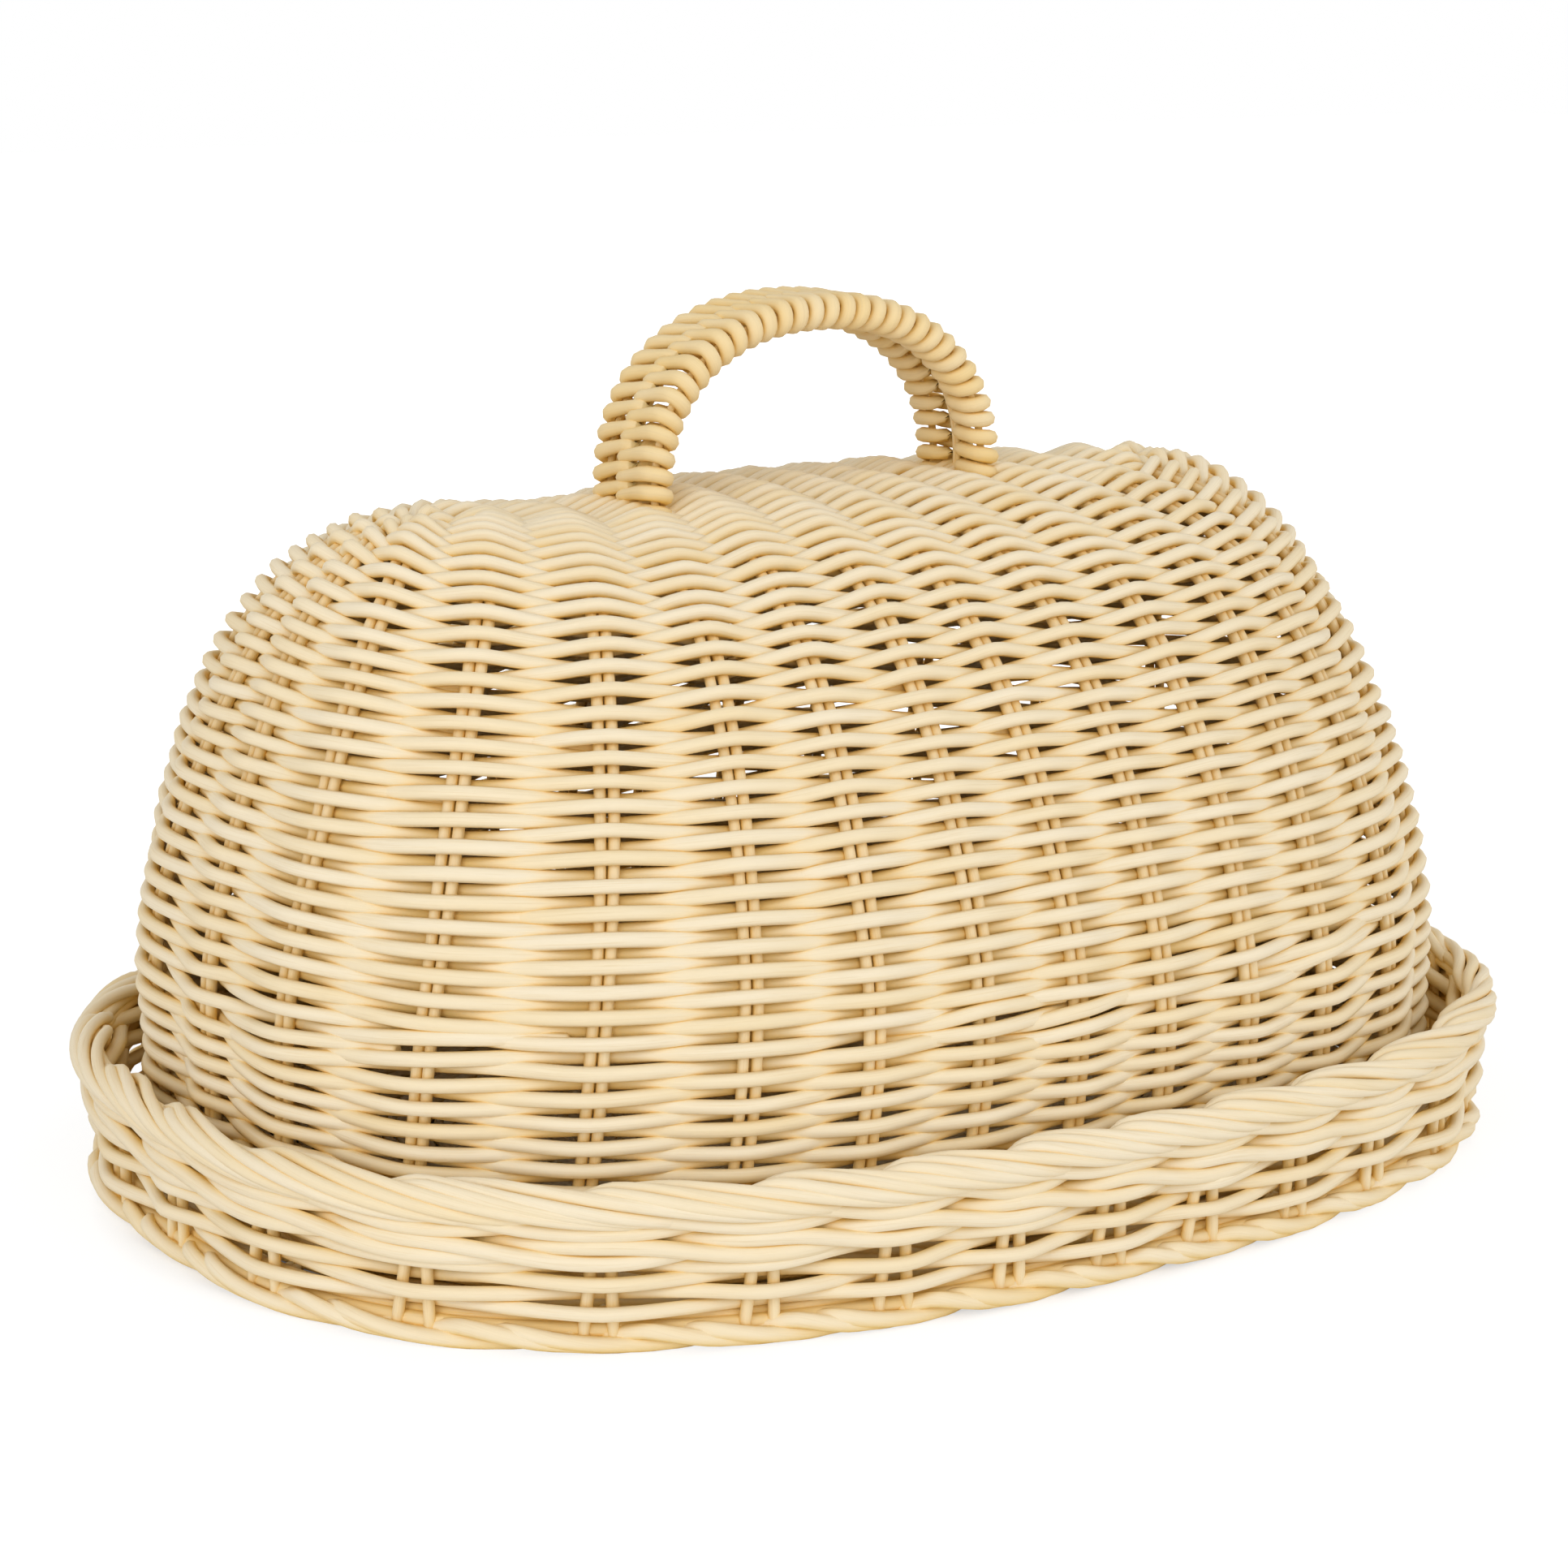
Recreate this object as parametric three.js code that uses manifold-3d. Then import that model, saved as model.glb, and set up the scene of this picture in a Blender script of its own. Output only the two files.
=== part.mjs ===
// A lidded bread basket woven from peeled rattan core: an oval tray with a rolled rim and a plaited foot,
// and a tall domed lid that stands inside it and is lifted off by a woven arch handle.
// Millimetres, +Z up, the long axis along X. The origin is on the ground under the middle of the tray.

import * as THREE from "three";
import { mergeVertices } from "three/addons/utils/BufferGeometryUtils.js";
import Module from "manifold-3d";

const wasm = await Module();
wasm.setup();

// Cane
const WEAVER = 3.8; // diameter of the weaving cane
const STAKE = 3.0; // diameter of one stake rod; the stakes go in pairs
const STAKE_SPACING = 3.6; // between the two rods of a pair
const GAP = 0.3; // clearance between pieces that touch

// Tray
const TRAY_LENGTH = 440; // over the rolled rim
const TRAY_WIDTH = 342;
const TRAY_HEIGHT = 49.4; // ground to the crest of the rim
const CORNER = 2.54; // roundness of the basket's ovals: 2 is an ellipse, more is squarer
const RIM_ROLL = 14.4; // diameter of the rolled rim
const RIM_BUNDLES = 5; // bundles side by side round the rim's section
const WALL_SET_IN = 5.5; // the wall's outer face, measured in from the rim's outer edge
const WALE_HEIGHT = 9.6; // band of three-rod wale under the rim
const WALE_COURSES = 3;
const WALL_COURSES = 4; // rounds of randing in the wall
const FOOT_ROLL = 11.4; // diameter of the plaited foot border
const FOOT_BUNDLES = 3;
const FOOT_SET_IN = 3.6; // the foot's outer edge, measured in from the rim's outer edge
const FOOT_FLAT = 0.5; // depth of the flat that the foot stands on
const BUNDLE_RELIEF = 0.8; // how far a bundle stands out of a roll

// Floor of the tray
const FLOOR_UNDERSIDE = 1.0; // height of the floor sticks above the ground
const CROSS_STICK = 5.6; // diameter of the sticks across, which the long sticks pierce
const CROSS_STICK_COUNT = 7;
const CROSS_STICK_PITCH = 44;
const LONG_STICK = 3.2;
const LONG_STICK_COUNT = 2;
const LONG_STICK_PITCH = 34;
const FLOOR_COURSES = 4; // rounds of randing in the floor
const FLOOR_RELIEF = 1.2;
const STICK_SIDES = 6;
const FLOOR_SPINE = 98; // length of the line that the floor's rounds close on
const FLOOR_STRIP = 10; // width of the strip along that line

// Lid
const LID_PLAY_ENDS = 2.75; // room between the lid and the tray's stakes
const LID_PLAY_SIDES = 4.4;
const LID_TOP = 206.8; // ground to the top of the crown
const LID_SHOULDER = 63; // height at which the upright sides start to turn in
const RIDGE_LENGTH = 259; // length of the crown's ridge
const DOME_RISE_EXPONENT = 1.38; // exponent of the dome's height: over 1 makes the sides stand up longer
const DOME_ROUND_EXPONENT = 0.8; // exponent of the dome's inward turn: under 1 makes the crown flatter
const LID_BORDER_HEIGHT = 8;
const LID_WALE_START = 4; // the step band of wale, measured up the side from the shoulder
const LID_WALE_HEIGHT = 10;
const LOWER_COURSES = 5; // rounds of randing under the wale, each standing for three real ones
const UPPER_ROUNDS = 46; // real rounds above it, up to the ends of the ridge
const FULL_ROUNDS = 45; // of these, the rounds modelled one by one
const SIDE_REACH = 10.5; // how much further the rounds reach up the middle of the sides than up the ends
const CROWN_COURSES = 3; // rounds between those and the ridge, each standing for five real ones
const CROWN_ROOM = 2; // least room for those at the ends of the ridge
const CROWN_STRIP = 10; // width of the strip that closes the crown
const FULL_RELIEF = 14; // the relief lessens where stakes stand closer than this

// Stakes: steps along the lid's widest oval, from the middle of a long side to the tip of an end
const STAKE_STEPS = [31, 33, 34, 39, 46, 47, 47, 17];
const ARCHES_EACH_SIDE = 4; // arches across the ridge, either side of the middle one
const STAKE_RINGS = 4; // steps up one leg of a stake, above the wale
const FAN_STOP = 24; // how far below the crown strip the end stakes stop
const LONG_PAIR_PITCH = 10; // between the two long pairs under the ridge

// Handle
const HANDLE_SPAN = 117; // between the middles of its two feet
const HANDLE_RISE = 50.1; // crown to the band's centre line at the top
const HANDLE_WIDTH = 36;
const HANDLE_WALL = 2.7; // thickness of the wrap over and under the rods
const HANDLE_CORNER = 2.2; // roundness of the arch
const HANDLE_ROD = 3.3; // core rods: one at each edge of the band and a pair in the middle
const HANDLE_PAIR_PITCH = 3.7;
const HANDLE_EDGE = 2.8; // thickness of the wrap at the band's edges
const HANDLE_ROWS = 14; // rows of the wrapping strand, each standing for four or five real ones
const WRAP_RELIEF = 1.6; // how far a row of the wrap stands out

const CANE = { color: 0xe9d3a6, roughness: 0.62, metalness: 0 };
const STAKE_CANE = { color: 0xdcbf88, roughness: 0.66, metalness: 0 };

const TAU = Math.PI * 2;
const UP = new THREE.Vector3(0, 0, 1);
const SMALL = 1e-3; // a small turn, or the distance under which two points are one
const OVAL_SAMPLES = 2000; // points at which a quarter of the oval is measured
const PROFILE_STEPS = 1200; // steps in which the dome's profile is measured
const NORMAL_STEP = 1; // climb over which the dome's slope is taken
const SIDE_STEPS = 120; // steps in which the length up the lid's side is measured
const BULGE = 1.9; // a place midway is added where the oval stands out further than this between two stakes
const COLUMNS = 4 * (STAKE_STEPS.length - 1) + 2;
const STAKE_PAIR = STAKE_SPACING + STAKE;

// Faces of the weave, measured out of the line of the stakes
const WEAVE_OUT = STAKE / 2 + WEAVER; // over a stake
const MID_OUT = WEAVER / 2; // where a weaver crosses between two stakes
const STAKE_OUT = STAKE / 2; // the stake itself, seen where a weaver passes behind it
const SHELL_INNER = -GAP / 2; // inner face of a woven shell, against which the stakes lie
const STAKE_DEPTH = SHELL_INNER - 2 * GAP - STAKE / 2; // the second gap lets the weave bend round a stake

// Lines in plan, measured in from the rim's outer edge
const WALL_LINE = WALL_SET_IN + WEAVE_OUT; // the line of the tray's stakes
const WALL_STAKE_SET_IN = WALL_LINE - STAKE_DEPTH;
const WALL_INSIDE = WALL_STAKE_SET_IN + STAKE / 2;
const FOOT_INSIDE = Math.max(FOOT_SET_IN + FOOT_ROLL, WALL_INSIDE) + GAP;
const LID_HALF_LENGTH = TRAY_LENGTH / 2 - WALL_INSIDE - LID_PLAY_ENDS - WEAVE_OUT; // to the line of its stakes
const LID_HALF_WIDTH = TRAY_WIDTH / 2 - WALL_INSIDE - LID_PLAY_SIDES - WEAVE_OUT;

// Heights
const FOOT_TOP = FOOT_ROLL - FOOT_FLAT;
const RIM_BOTTOM = TRAY_HEIGHT - RIM_ROLL;
const WALE_BOTTOM = RIM_BOTTOM - GAP - WALE_HEIGHT;
const FLOOR_BOTTOM = FLOOR_UNDERSIDE + CROSS_STICK + GAP;
const FLOOR_TOP = FLOOR_BOTTOM + WEAVER;
const LID_BOTTOM = FLOOR_TOP + GAP;
const BORDER_TOP = LID_BOTTOM + LID_BORDER_HEIGHT;
const CROWN = LID_TOP - WEAVE_OUT;

function evenly(from, to, count) {
  return Array.from({ length: count + 1 }, (_, i) => from + ((to - from) * i) / count);
}

// Places either side of nought, the same step apart.
function centred(count, pitch) {
  return Array.from({ length: count }, (_, i) => (i - (count - 1) / 2) * pitch);
}

// A point of an oval whose corners are squarer than an ellipse's.
function ovalPoint(halfLength, halfWidth, corner, angle) {
  const c = Math.cos(angle);
  const s = Math.sin(angle);
  return [
    halfLength * Math.sign(c) * Math.abs(c) ** (2 / corner),
    halfWidth * Math.sign(s) * Math.abs(s) ** (2 / corner),
  ];
}

// Angles of the stake pairs round the basket, in order from just past the tip at +X. The same angles
// serve the tray, so its stakes stand beside the lid's.
function stakeAngles() {
  const samples = evenly(Math.PI / 2, 0, OVAL_SAMPLES);
  const points = samples.map((angle) => ovalPoint(LID_HALF_LENGTH, LID_HALF_WIDTH, CORNER, angle));
  let length = 0;
  const lengths = points.map(([x, y], i) => {
    if (i > 0) length += Math.hypot(x - points[i - 1][0], y - points[i - 1][1]);
    return length;
  });
  const total = STAKE_STEPS.reduce((sum, step) => sum + step);
  let reached = 0;
  const quarter = STAKE_STEPS.slice(0, -1).map((step) => {
    reached += step / total;
    return samples[lengths.findIndex((l) => l >= reached * length)];
  });
  const half = [...quarter].reverse().concat(Math.PI / 2, quarter.map((angle) => Math.PI - angle));
  return half.concat(half.map((angle) => angle + Math.PI));
}

const STAKE_ANGLES = stakeAngles();

// Places round the weave: the stakes, and places midway at the tips and where the oval bends most. The
// last place is the tip at +X.
const WEAVE_PLACES = STAKE_ANGLES.flatMap((angle, stake) => {
  const next = stake + 1 < COLUMNS ? STAKE_ANGLES[stake + 1] : STAKE_ANGLES[0] + TAU;
  const [from, middle, to] = [angle, (angle + next) / 2, next].map((turn) => {
    const [x, y] = ovalPoint(LID_HALF_LENGTH, LID_HALF_WIDTH, CORNER, turn);
    return new THREE.Vector3(x, y, 0);
  });
  const tip = stake === COLUMNS / 2 - 1 || stake === COLUMNS - 1;
  const bulge = middle.sub(from).cross(to.clone().sub(from).normalize()).length();
  const own = { angle, stake };
  return tip || bulge > BULGE ? [own, { angle: (angle + next) / 2 }] : [own];
});

// Angles of the rolls: every stake and the place midway to the next.
const ROLL_ANGLES = STAKE_ANGLES.flatMap((angle, i) => {
  const next = i + 1 < COLUMNS ? STAKE_ANGLES[i + 1] : STAKE_ANGLES[0] + TAU;
  return [angle, (angle + next) / 2];
});

// A geometry from points and faces, turned so that its faces point out of the body.
function facingOut(points, faces) {
  let volume = 0;
  for (let i = 0; i < faces.length; i += 3) {
    const [a, b, c] = [points[faces[i]], points[faces[i + 1]], points[faces[i + 2]]];
    volume += a.dot(b.clone().cross(c));
  }
  if (volume < 0) faces.reverse();
  return new THREE.BufferGeometry().setFromPoints(points).setIndex(faces);
}

// Whether four corners in order round a face fold inwards along the line from the first to the third.
function foldsIn(a, b, c, d) {
  const across = c.clone().sub(a);
  return b.clone().sub(a).cross(across).dot(d.clone().sub(a)) > 0;
}

// Faces between each ring of points and the next. With wrap the last ring meets the first, turned on by
// a number of points. With sunk each face folds inwards, so that the points that stand out are humps.
function ringFaces(rings, wrap, turned = 0, sunk = false) {
  const n = rings[0].length;
  const faces = [];
  const spans = wrap ? rings.length : rings.length - 1;
  for (let i = 0; i < spans; i++) {
    const low = i * n;
    const high = ((i + 1) % rings.length) * n;
    const shift = i + 1 === rings.length ? turned : 0;
    for (let j = 0; j < n; j++) {
      const [a, b] = [low + j, low + ((j + 1) % n)];
      const [c, d] = [high + ((j + 1 + shift) % n), high + ((j + shift) % n)];
      const corners = [a, b, c, d].map((corner) => rings[Math.floor(corner / n)][corner % n]);
      const other = sunk && !foldsIn(...corners);
      faces.push(...(other ? [a, b, d, b, c, d] : [a, b, c, a, c, d]));
    }
  }
  return faces;
}

function hoop(rings, turned = 0, sunk = false) {
  return facingOut(rings.flat(), ringFaces(rings, true, turned, sunk));
}

// A rod closed at each end by a fan.
function bar(rings) {
  const n = rings[0].length;
  const points = rings.flat();
  const faces = ringFaces(rings, false);
  for (const [start, flip] of [[0, true], [(rings.length - 1) * n, false]]) {
    const middle = new THREE.Vector3();
    for (let j = 0; j < n; j++) middle.addScaledVector(points[start + j], 1 / n);
    const centre = points.push(middle) - 1;
    for (let j = 0; j < n; j++) {
      const [a, b] = [start + j, start + ((j + 1) % n)];
      faces.push(...(flip ? [b, a] : [a, b]), centre);
    }
  }
  return facingOut(points, faces);
}

// A sheet closed on a straight line at each end: the points that face each other across it are joined.
// Each ring's last point is the tip at +X, and the one halfway round is the tip at -X.
function zipped(rings) {
  const n = rings[0].length;
  const faces = ringFaces(rings, false, 0, true);
  for (const [start, flip] of [[0, true], [(rings.length - 1) * n, false]]) {
    const at = (j) => start + ((j - 1 + n) % n);
    for (let j = 0; j < n / 2; j++) {
      const near = [at(j), at(j + 1)];
      const far = [at(n - j - 1), at(n - j)];
      const turn = (face) => (flip ? face.reverse() : face);
      if (near[1] !== far[0]) faces.push(...turn([near[0], near[1], far[0]]));
      if (near[0] !== far[1]) faces.push(...turn([near[0], far[0], far[1]]));
    }
  }
  return facingOut(rings.flat(), faces);
}

function solidOf(geometry) {
  const bare = geometry.clone();
  bare.deleteAttribute("normal");
  bare.deleteAttribute("uv");
  const merged = mergeVertices(bare, SMALL);
  const vertProperties = new Float32Array(merged.attributes.position.array);
  const triVerts = new Uint32Array(merged.index.array);
  return new wasm.Manifold(new wasm.Mesh({ numProp: 3, vertProperties, triVerts }));
}

function geometryOf(solid) {
  const { vertProperties, triVerts } = solid.getMesh();
  const geometry = new THREE.BufferGeometry();
  geometry.setAttribute("position", new THREE.BufferAttribute(vertProperties, 3));
  return geometry.setIndex(new THREE.BufferAttribute(triVerts, 1));
}

// The rings of a section swept along a path: each place has a point, the way across and the way out.
function sweepRings(places, section) {
  return places.map(({ at, side, out }, i) =>
    section(i).map(([a, b]) => at.clone().addScaledVector(side, a).addScaledVector(out, b)),
  );
}

// Outline of two rods side by side, as a flat hexagon.
const PAIR_SECTION = [
  [STAKE_PAIR / 2, 0],
  [(STAKE_PAIR - STAKE) / 2, STAKE / 2],
  [(STAKE - STAKE_PAIR) / 2, STAKE / 2],
  [-STAKE_PAIR / 2, 0],
  [(STAKE - STAKE_PAIR) / 2, -STAKE / 2],
  [(STAKE_PAIR - STAKE) / 2, -STAKE / 2],
];

function roundSection(diameter, sides) {
  return evenly(0, TAU, sides)
    .slice(1)
    .map((turn) => [(diameter / 2) * Math.cos(turn), (diameter / 2) * Math.sin(turn)]);
}

// How far a woven face stands out of the stake line: over one pair of stakes, behind the next.
function randing(round, { stake }) {
  if (stake === undefined) return MID_OUT;
  return (stake + round) % 2 === 0 ? WEAVE_OUT : STAKE_OUT;
}

// Three-rod wale: over two pairs and behind one, stepping on by one pair in each round.
function waling(round, { stake }) {
  if (stake === undefined) return (MID_OUT + WEAVE_OUT) / 2;
  return (stake + round) % 3 === 0 ? STAKE_OUT : WEAVE_OUT;
}

// The tray

// A point on an oval of the tray, some way in from the rim's outer edge.
function trayPoint(angle, setIn, height) {
  const [x, y] = ovalPoint(TRAY_LENGTH / 2 - setIn, TRAY_WIDTH / 2 - setIn, CORNER, angle);
  return new THREE.Vector3(x, y, height);
}

function trayPlace(angle, setIn, height) {
  const at = trayPoint(angle, setIn, height);
  const side = trayPoint(angle + SMALL, setIn, height).sub(at).normalize();
  return { at, side, out: side.clone().cross(UP) };
}

function trayBand(bottom, top, courses, pattern) {
  const outer = evenly(bottom, top, courses).map((height, round) =>
    WEAVE_PLACES.map((place) => trayPoint(place.angle, WALL_LINE - pattern(round, place), height)),
  );
  const inner = [top, bottom].map((height) =>
    WEAVE_PLACES.map(({ angle }) => trayPoint(angle, WALL_LINE - SHELL_INNER, height)),
  );
  return hoop([...outer, ...inner], 0, true);
}

// A roll of bundles laid side by side and twisted: on the outside each bundle drops by one step of the
// section from one stake to the next, and it passes straight over the top and under the bottom.
function twistedRoll(diameter, setIn, height, bundles) {
  const points = bundles * 2;
  const places = ROLL_ANGLES.map((angle) => {
    const { at, out } = trayPlace(angle, setIn + diameter / 2, height);
    return { at, side: out, out: UP };
  });
  const rings = sweepRings(places, (place) =>
    Array.from({ length: points }, (_, k) => {
      const turn = TAU / 4 + (TAU * (k + place)) / points;
      const radius = diameter / 2 - (k % 2) * BUNDLE_RELIEF;
      return [radius * Math.cos(turn), -radius * Math.sin(turn)];
    }),
  );
  return hoop(rings, ROLL_ANGLES.length % points);
}

// The foot border with the tray's stakes, whose lower ends are plaited into it. It is cut flat below.
function footWithStakes() {
  const centre = FOOT_ROLL / 2 - FOOT_FLAT;
  const roll = solidOf(twistedRoll(FOOT_ROLL, FOOT_SET_IN, centre, FOOT_BUNDLES));
  const ground = new THREE.BoxGeometry(TRAY_LENGTH * 2, TRAY_WIDTH * 2, FOOT_ROLL);
  ground.translate(0, 0, -FOOT_ROLL / 2);
  const stakes = STAKE_ANGLES.map((angle) => {
    const places = [centre, RIM_BOTTOM - GAP].map((height) => trayPlace(angle, WALL_STAKE_SET_IN, height));
    return solidOf(bar(sweepRings(places, () => PAIR_SECTION)));
  });
  return geometryOf(stakes.reduce((all, stake) => all.add(stake), roll).subtract(solidOf(ground)));
}

// The floor: an oval sheet of randing that lies on the sticks. Its rounds close on a line in the middle.
function floorWeave() {
  const spine = FLOOR_SPINE / 2;
  const last = FLOOR_STRIP / TRAY_WIDTH;
  const ring = (share, heightAt) =>
    WEAVE_PLACES.map((place) => {
      const edge = trayPoint(place.angle, FOOT_INSIDE, 0);
      const near = Math.max(-spine, Math.min(spine, edge.x));
      return new THREE.Vector3(near + (edge.x - near) * share, edge.y * share, heightAt(place));
    });
  const upper = evenly(1, last, FLOOR_COURSES).map((share, round) =>
    ring(share, (place) => {
      const sunk = (WEAVE_OUT - randing(round, place)) / (WEAVE_OUT - STAKE_OUT);
      return FLOOR_TOP - FLOOR_RELIEF * sunk;
    }),
  );
  return zipped([last, 1].map((share) => ring(share, () => FLOOR_BOTTOM)).concat(upper));
}

// Half the room between the two sides of the foot, at a distance from the middle.
function roomInFoot(length, width, place) {
  const [along, across] = [length / 2 - FOOT_INSIDE, width / 2 - FOOT_INSIDE];
  return along * (1 - (place / across) ** CORNER) ** (1 / CORNER);
}

const STICK_HEIGHT = FLOOR_UNDERSIDE + CROSS_STICK / 2;
const LONG_STICK_PLACES = centred(LONG_STICK_COUNT, LONG_STICK_PITCH);

function longRod(diameter, length) {
  return new THREE.CylinderGeometry(diameter / 2, diameter / 2, length, STICK_SIDES).rotateZ(Math.PI / 2);
}

// A stick across the floor, slit where the long sticks pass through it.
function crossStick(place) {
  const room = roomInFoot(TRAY_WIDTH, TRAY_LENGTH, Math.abs(place) + CROSS_STICK / 2);
  const stick = new THREE.CylinderGeometry(CROSS_STICK / 2, CROSS_STICK / 2, 2 * room, STICK_SIDES);
  const slits = LONG_STICK_PLACES.map((y) =>
    solidOf(longRod(LONG_STICK + 2 * GAP, CROSS_STICK * 2).translate(0, y, 0)),
  );
  return geometryOf(slits.reduce((cut, slit) => cut.subtract(slit), solidOf(stick)));
}

function longStick(place) {
  return longRod(LONG_STICK, 2 * roomInFoot(TRAY_LENGTH, TRAY_WIDTH, Math.abs(place) + LONG_STICK / 2));
}

// The lid

// Half sizes and height of the stake line at a share of the dome, from 0 at the shoulder to 1 on top.
function domeLevel(share) {
  const turn = (share * Math.PI) / 2;
  const inward = Math.max(Math.cos(turn), 0) ** DOME_ROUND_EXPONENT;
  const ridge = RIDGE_LENGTH / 2;
  return {
    halfLength: ridge + (LID_HALF_LENGTH - ridge) * inward,
    halfWidth: LID_HALF_WIDTH * inward,
    height: LID_SHOULDER + (CROWN - LID_SHOULDER) * Math.sin(turn) ** DOME_RISE_EXPONENT,
  };
}

// Lengths up the dome's profile across the lid, as far as the strip that closes the crown.
function profileLengths() {
  const lengths = [0];
  for (let i = 1; i < PROFILE_STEPS; i++) {
    const [a, b] = [domeLevel((i - 1) / PROFILE_STEPS), domeLevel(i / PROFILE_STEPS)];
    lengths.push(lengths[i - 1] + Math.hypot(b.halfWidth - a.halfWidth, b.height - a.height));
    if (b.halfWidth < CROWN_STRIP / 2) break;
  }
  return lengths;
}

const PROFILE = profileLengths();
const DOME_LENGTH = PROFILE.at(-1);

// The stake line's level at a distance up the side from the shoulder. Below it the sides are upright.
function lidLevel(distance) {
  if (distance < 0) {
    return { halfLength: LID_HALF_LENGTH, halfWidth: LID_HALF_WIDTH, height: LID_SHOULDER + distance };
  }
  const after = PROFILE.findIndex((length) => length >= Math.min(distance, DOME_LENGTH));
  if (after === 0) return domeLevel(0);
  const [low, high] = [PROFILE[after - 1], PROFILE[after]];
  const part = Math.min((distance - low) / (high - low), 1);
  return domeLevel((after - 1 + part) / PROFILE_STEPS);
}

function lidPoint(angle, distance) {
  const { halfLength, halfWidth, height } = lidLevel(distance);
  const [x, y] = ovalPoint(halfLength, halfWidth, CORNER, angle);
  return new THREE.Vector3(x, y, height);
}

// The way straight out of the stake line.
function lidNormal(angle, distance) {
  const along = lidPoint(angle + SMALL, distance).sub(lidPoint(angle - SMALL, distance));
  const top = Math.min(distance + NORMAL_STEP / 2, DOME_LENGTH);
  const climb = lidPoint(angle, top).sub(lidPoint(angle, top - NORMAL_STEP));
  return along.cross(climb).normalize();
}

function lidFace(angle, distance, out) {
  return lidPoint(angle, distance).addScaledVector(lidNormal(angle, distance), out);
}

const BORDER_LINE = BORDER_TOP - LID_SHOULDER; // the border's top as a distance from the shoulder
const WALE_END = LID_WALE_START + LID_WALE_HEIGHT;
// Levels that the stakes and the faces they lie against share, so that both bend at the same places
const LEG_LEVELS = [BORDER_LINE + GAP, 0, ...evenly(WALE_END, DOME_LENGTH, STAKE_RINGS)];

function smoothRing(distance, out) {
  return WEAVE_PLACES.map(({ angle }) => lidFace(angle, distance, out));
}

// A point of the outer face. Its relief lessens at the ends of the ridge, where the stakes crowd together.
function reliefPoint(place, distance, round, pattern) {
  const half = TAU / COLUMNS / 2;
  const apart = lidPoint(place.angle - half, distance).distanceTo(lidPoint(place.angle + half, distance));
  const relief = Math.min(apart / FULL_RELIEF, 1);
  return lidFace(place.angle, distance, MID_OUT + (pattern(round, place) - MID_OUT) * relief);
}

// Lengths up the side at a place, from the lid's lower edge to each level of the dome.
const UPRIGHT = LID_SHOULDER - LID_BOTTOM;
const SIDE_LEVELS = evenly(0, DOME_LENGTH, SIDE_STEPS);

function sideLengths({ angle }) {
  const points = SIDE_LEVELS.map((level) => lidPoint(angle, level));
  let length = UPRIGHT;
  return points.map((point, i) => {
    if (i > 0) length += point.distanceTo(points[i - 1]);
    return length;
  });
}

const SIDE_LENGTHS = new Map(WEAVE_PLACES.map((place) => [place, sideLengths(place)]));
// The rest of the way from the strip that closes the crown to the end of the ridge
const TIP_REST = ((LID_HALF_LENGTH - RIDGE_LENGTH / 2) * CROWN_STRIP) / 2 / LID_HALF_WIDTH;

// The distance up the dome's profile at which a round above the wale lies at a place. The rounds are
// evenly spaced up the side, and reach a little higher in the middle of the long sides than at the ends.
function roundDistance(place, round) {
  const start = UPRIGHT + WALE_END;
  const lengths = SIDE_LENGTHS.get(place);
  const tip = SIDE_LENGTHS.get(WEAVE_PLACES.at(-1)).at(-1) + TIP_REST;
  const along = lidPoint(place.angle, DOME_LENGTH).x / (RIDGE_LENGTH / 2);
  const full = tip + SIDE_REACH * Math.max(0, 1 - along ** 2) - start;
  const most = ((lengths.at(-1) - CROWN_ROOM - start) * UPPER_ROUNDS) / (FULL_ROUNDS - 0.5);
  const length = start + (Math.min(full, most) * (round + 0.5)) / UPPER_ROUNDS;
  const after = Math.max(lengths.findIndex((reached) => reached >= length), 1);
  const part = (length - lengths[after - 1]) / (lengths[after] - lengths[after - 1]);
  return SIDE_LEVELS[after - 1] + part * (SIDE_LEVELS[after] - SIDE_LEVELS[after - 1]);
}

// The faces of a woven part of the lid between two distances, as rings from the top of the inner face
// down to its foot and up the outer face again.
function innerRings(from, to) {
  const between = LEG_LEVELS.filter((level) => level > from + GAP && level < to - GAP);
  return [from, ...between, to].reverse().map((distance) => smoothRing(distance, SHELL_INNER));
}

function outerRings(from, to, courses, pattern) {
  return evenly(from, to, courses).map((distance, round) =>
    WEAVE_PLACES.map((place) => reliefPoint(place, distance, round, pattern)),
  );
}

function lidWeave(from, to, courses, pattern) {
  return [...innerRings(from, to), ...outerRings(from, to, courses, pattern)];
}

// The outer face above the wale: every full round up to the ends of the ridge, then a few to the crown.
function upperRings(from) {
  const ring = (round, distanceAt) =>
    WEAVE_PLACES.map((place) => reliefPoint(place, distanceAt(place), round, randing));
  const rounds = Array.from({ length: FULL_ROUNDS }, (_, round) =>
    ring(round, (place) => (round === 0 ? from : roundDistance(place, round))),
  );
  const crown = evenly(0, 1, CROWN_COURSES).slice(1).map((share, i) =>
    ring(FULL_ROUNDS + i, (place) => {
      const last = roundDistance(place, FULL_ROUNDS - 1);
      return last + (DOME_LENGTH - last) * share;
    }),
  );
  return [...rounds, ...crown];
}

// The plaited border that the lid stands on.
function lidBorder() {
  const chamfer = WEAVER / 2;
  const [low, high] = [LID_BOTTOM - LID_SHOULDER, BORDER_LINE];
  const profile = [
    [WEAVE_OUT, low + chamfer],
    [WEAVE_OUT, high - chamfer],
    [WEAVE_OUT - chamfer, high],
    [-WEAVE_OUT, high],
    [-WEAVE_OUT, low],
    [WEAVE_OUT - chamfer, low],
  ];
  return hoop(profile.map(([out, distance]) => smoothRing(distance, out)));
}

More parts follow.
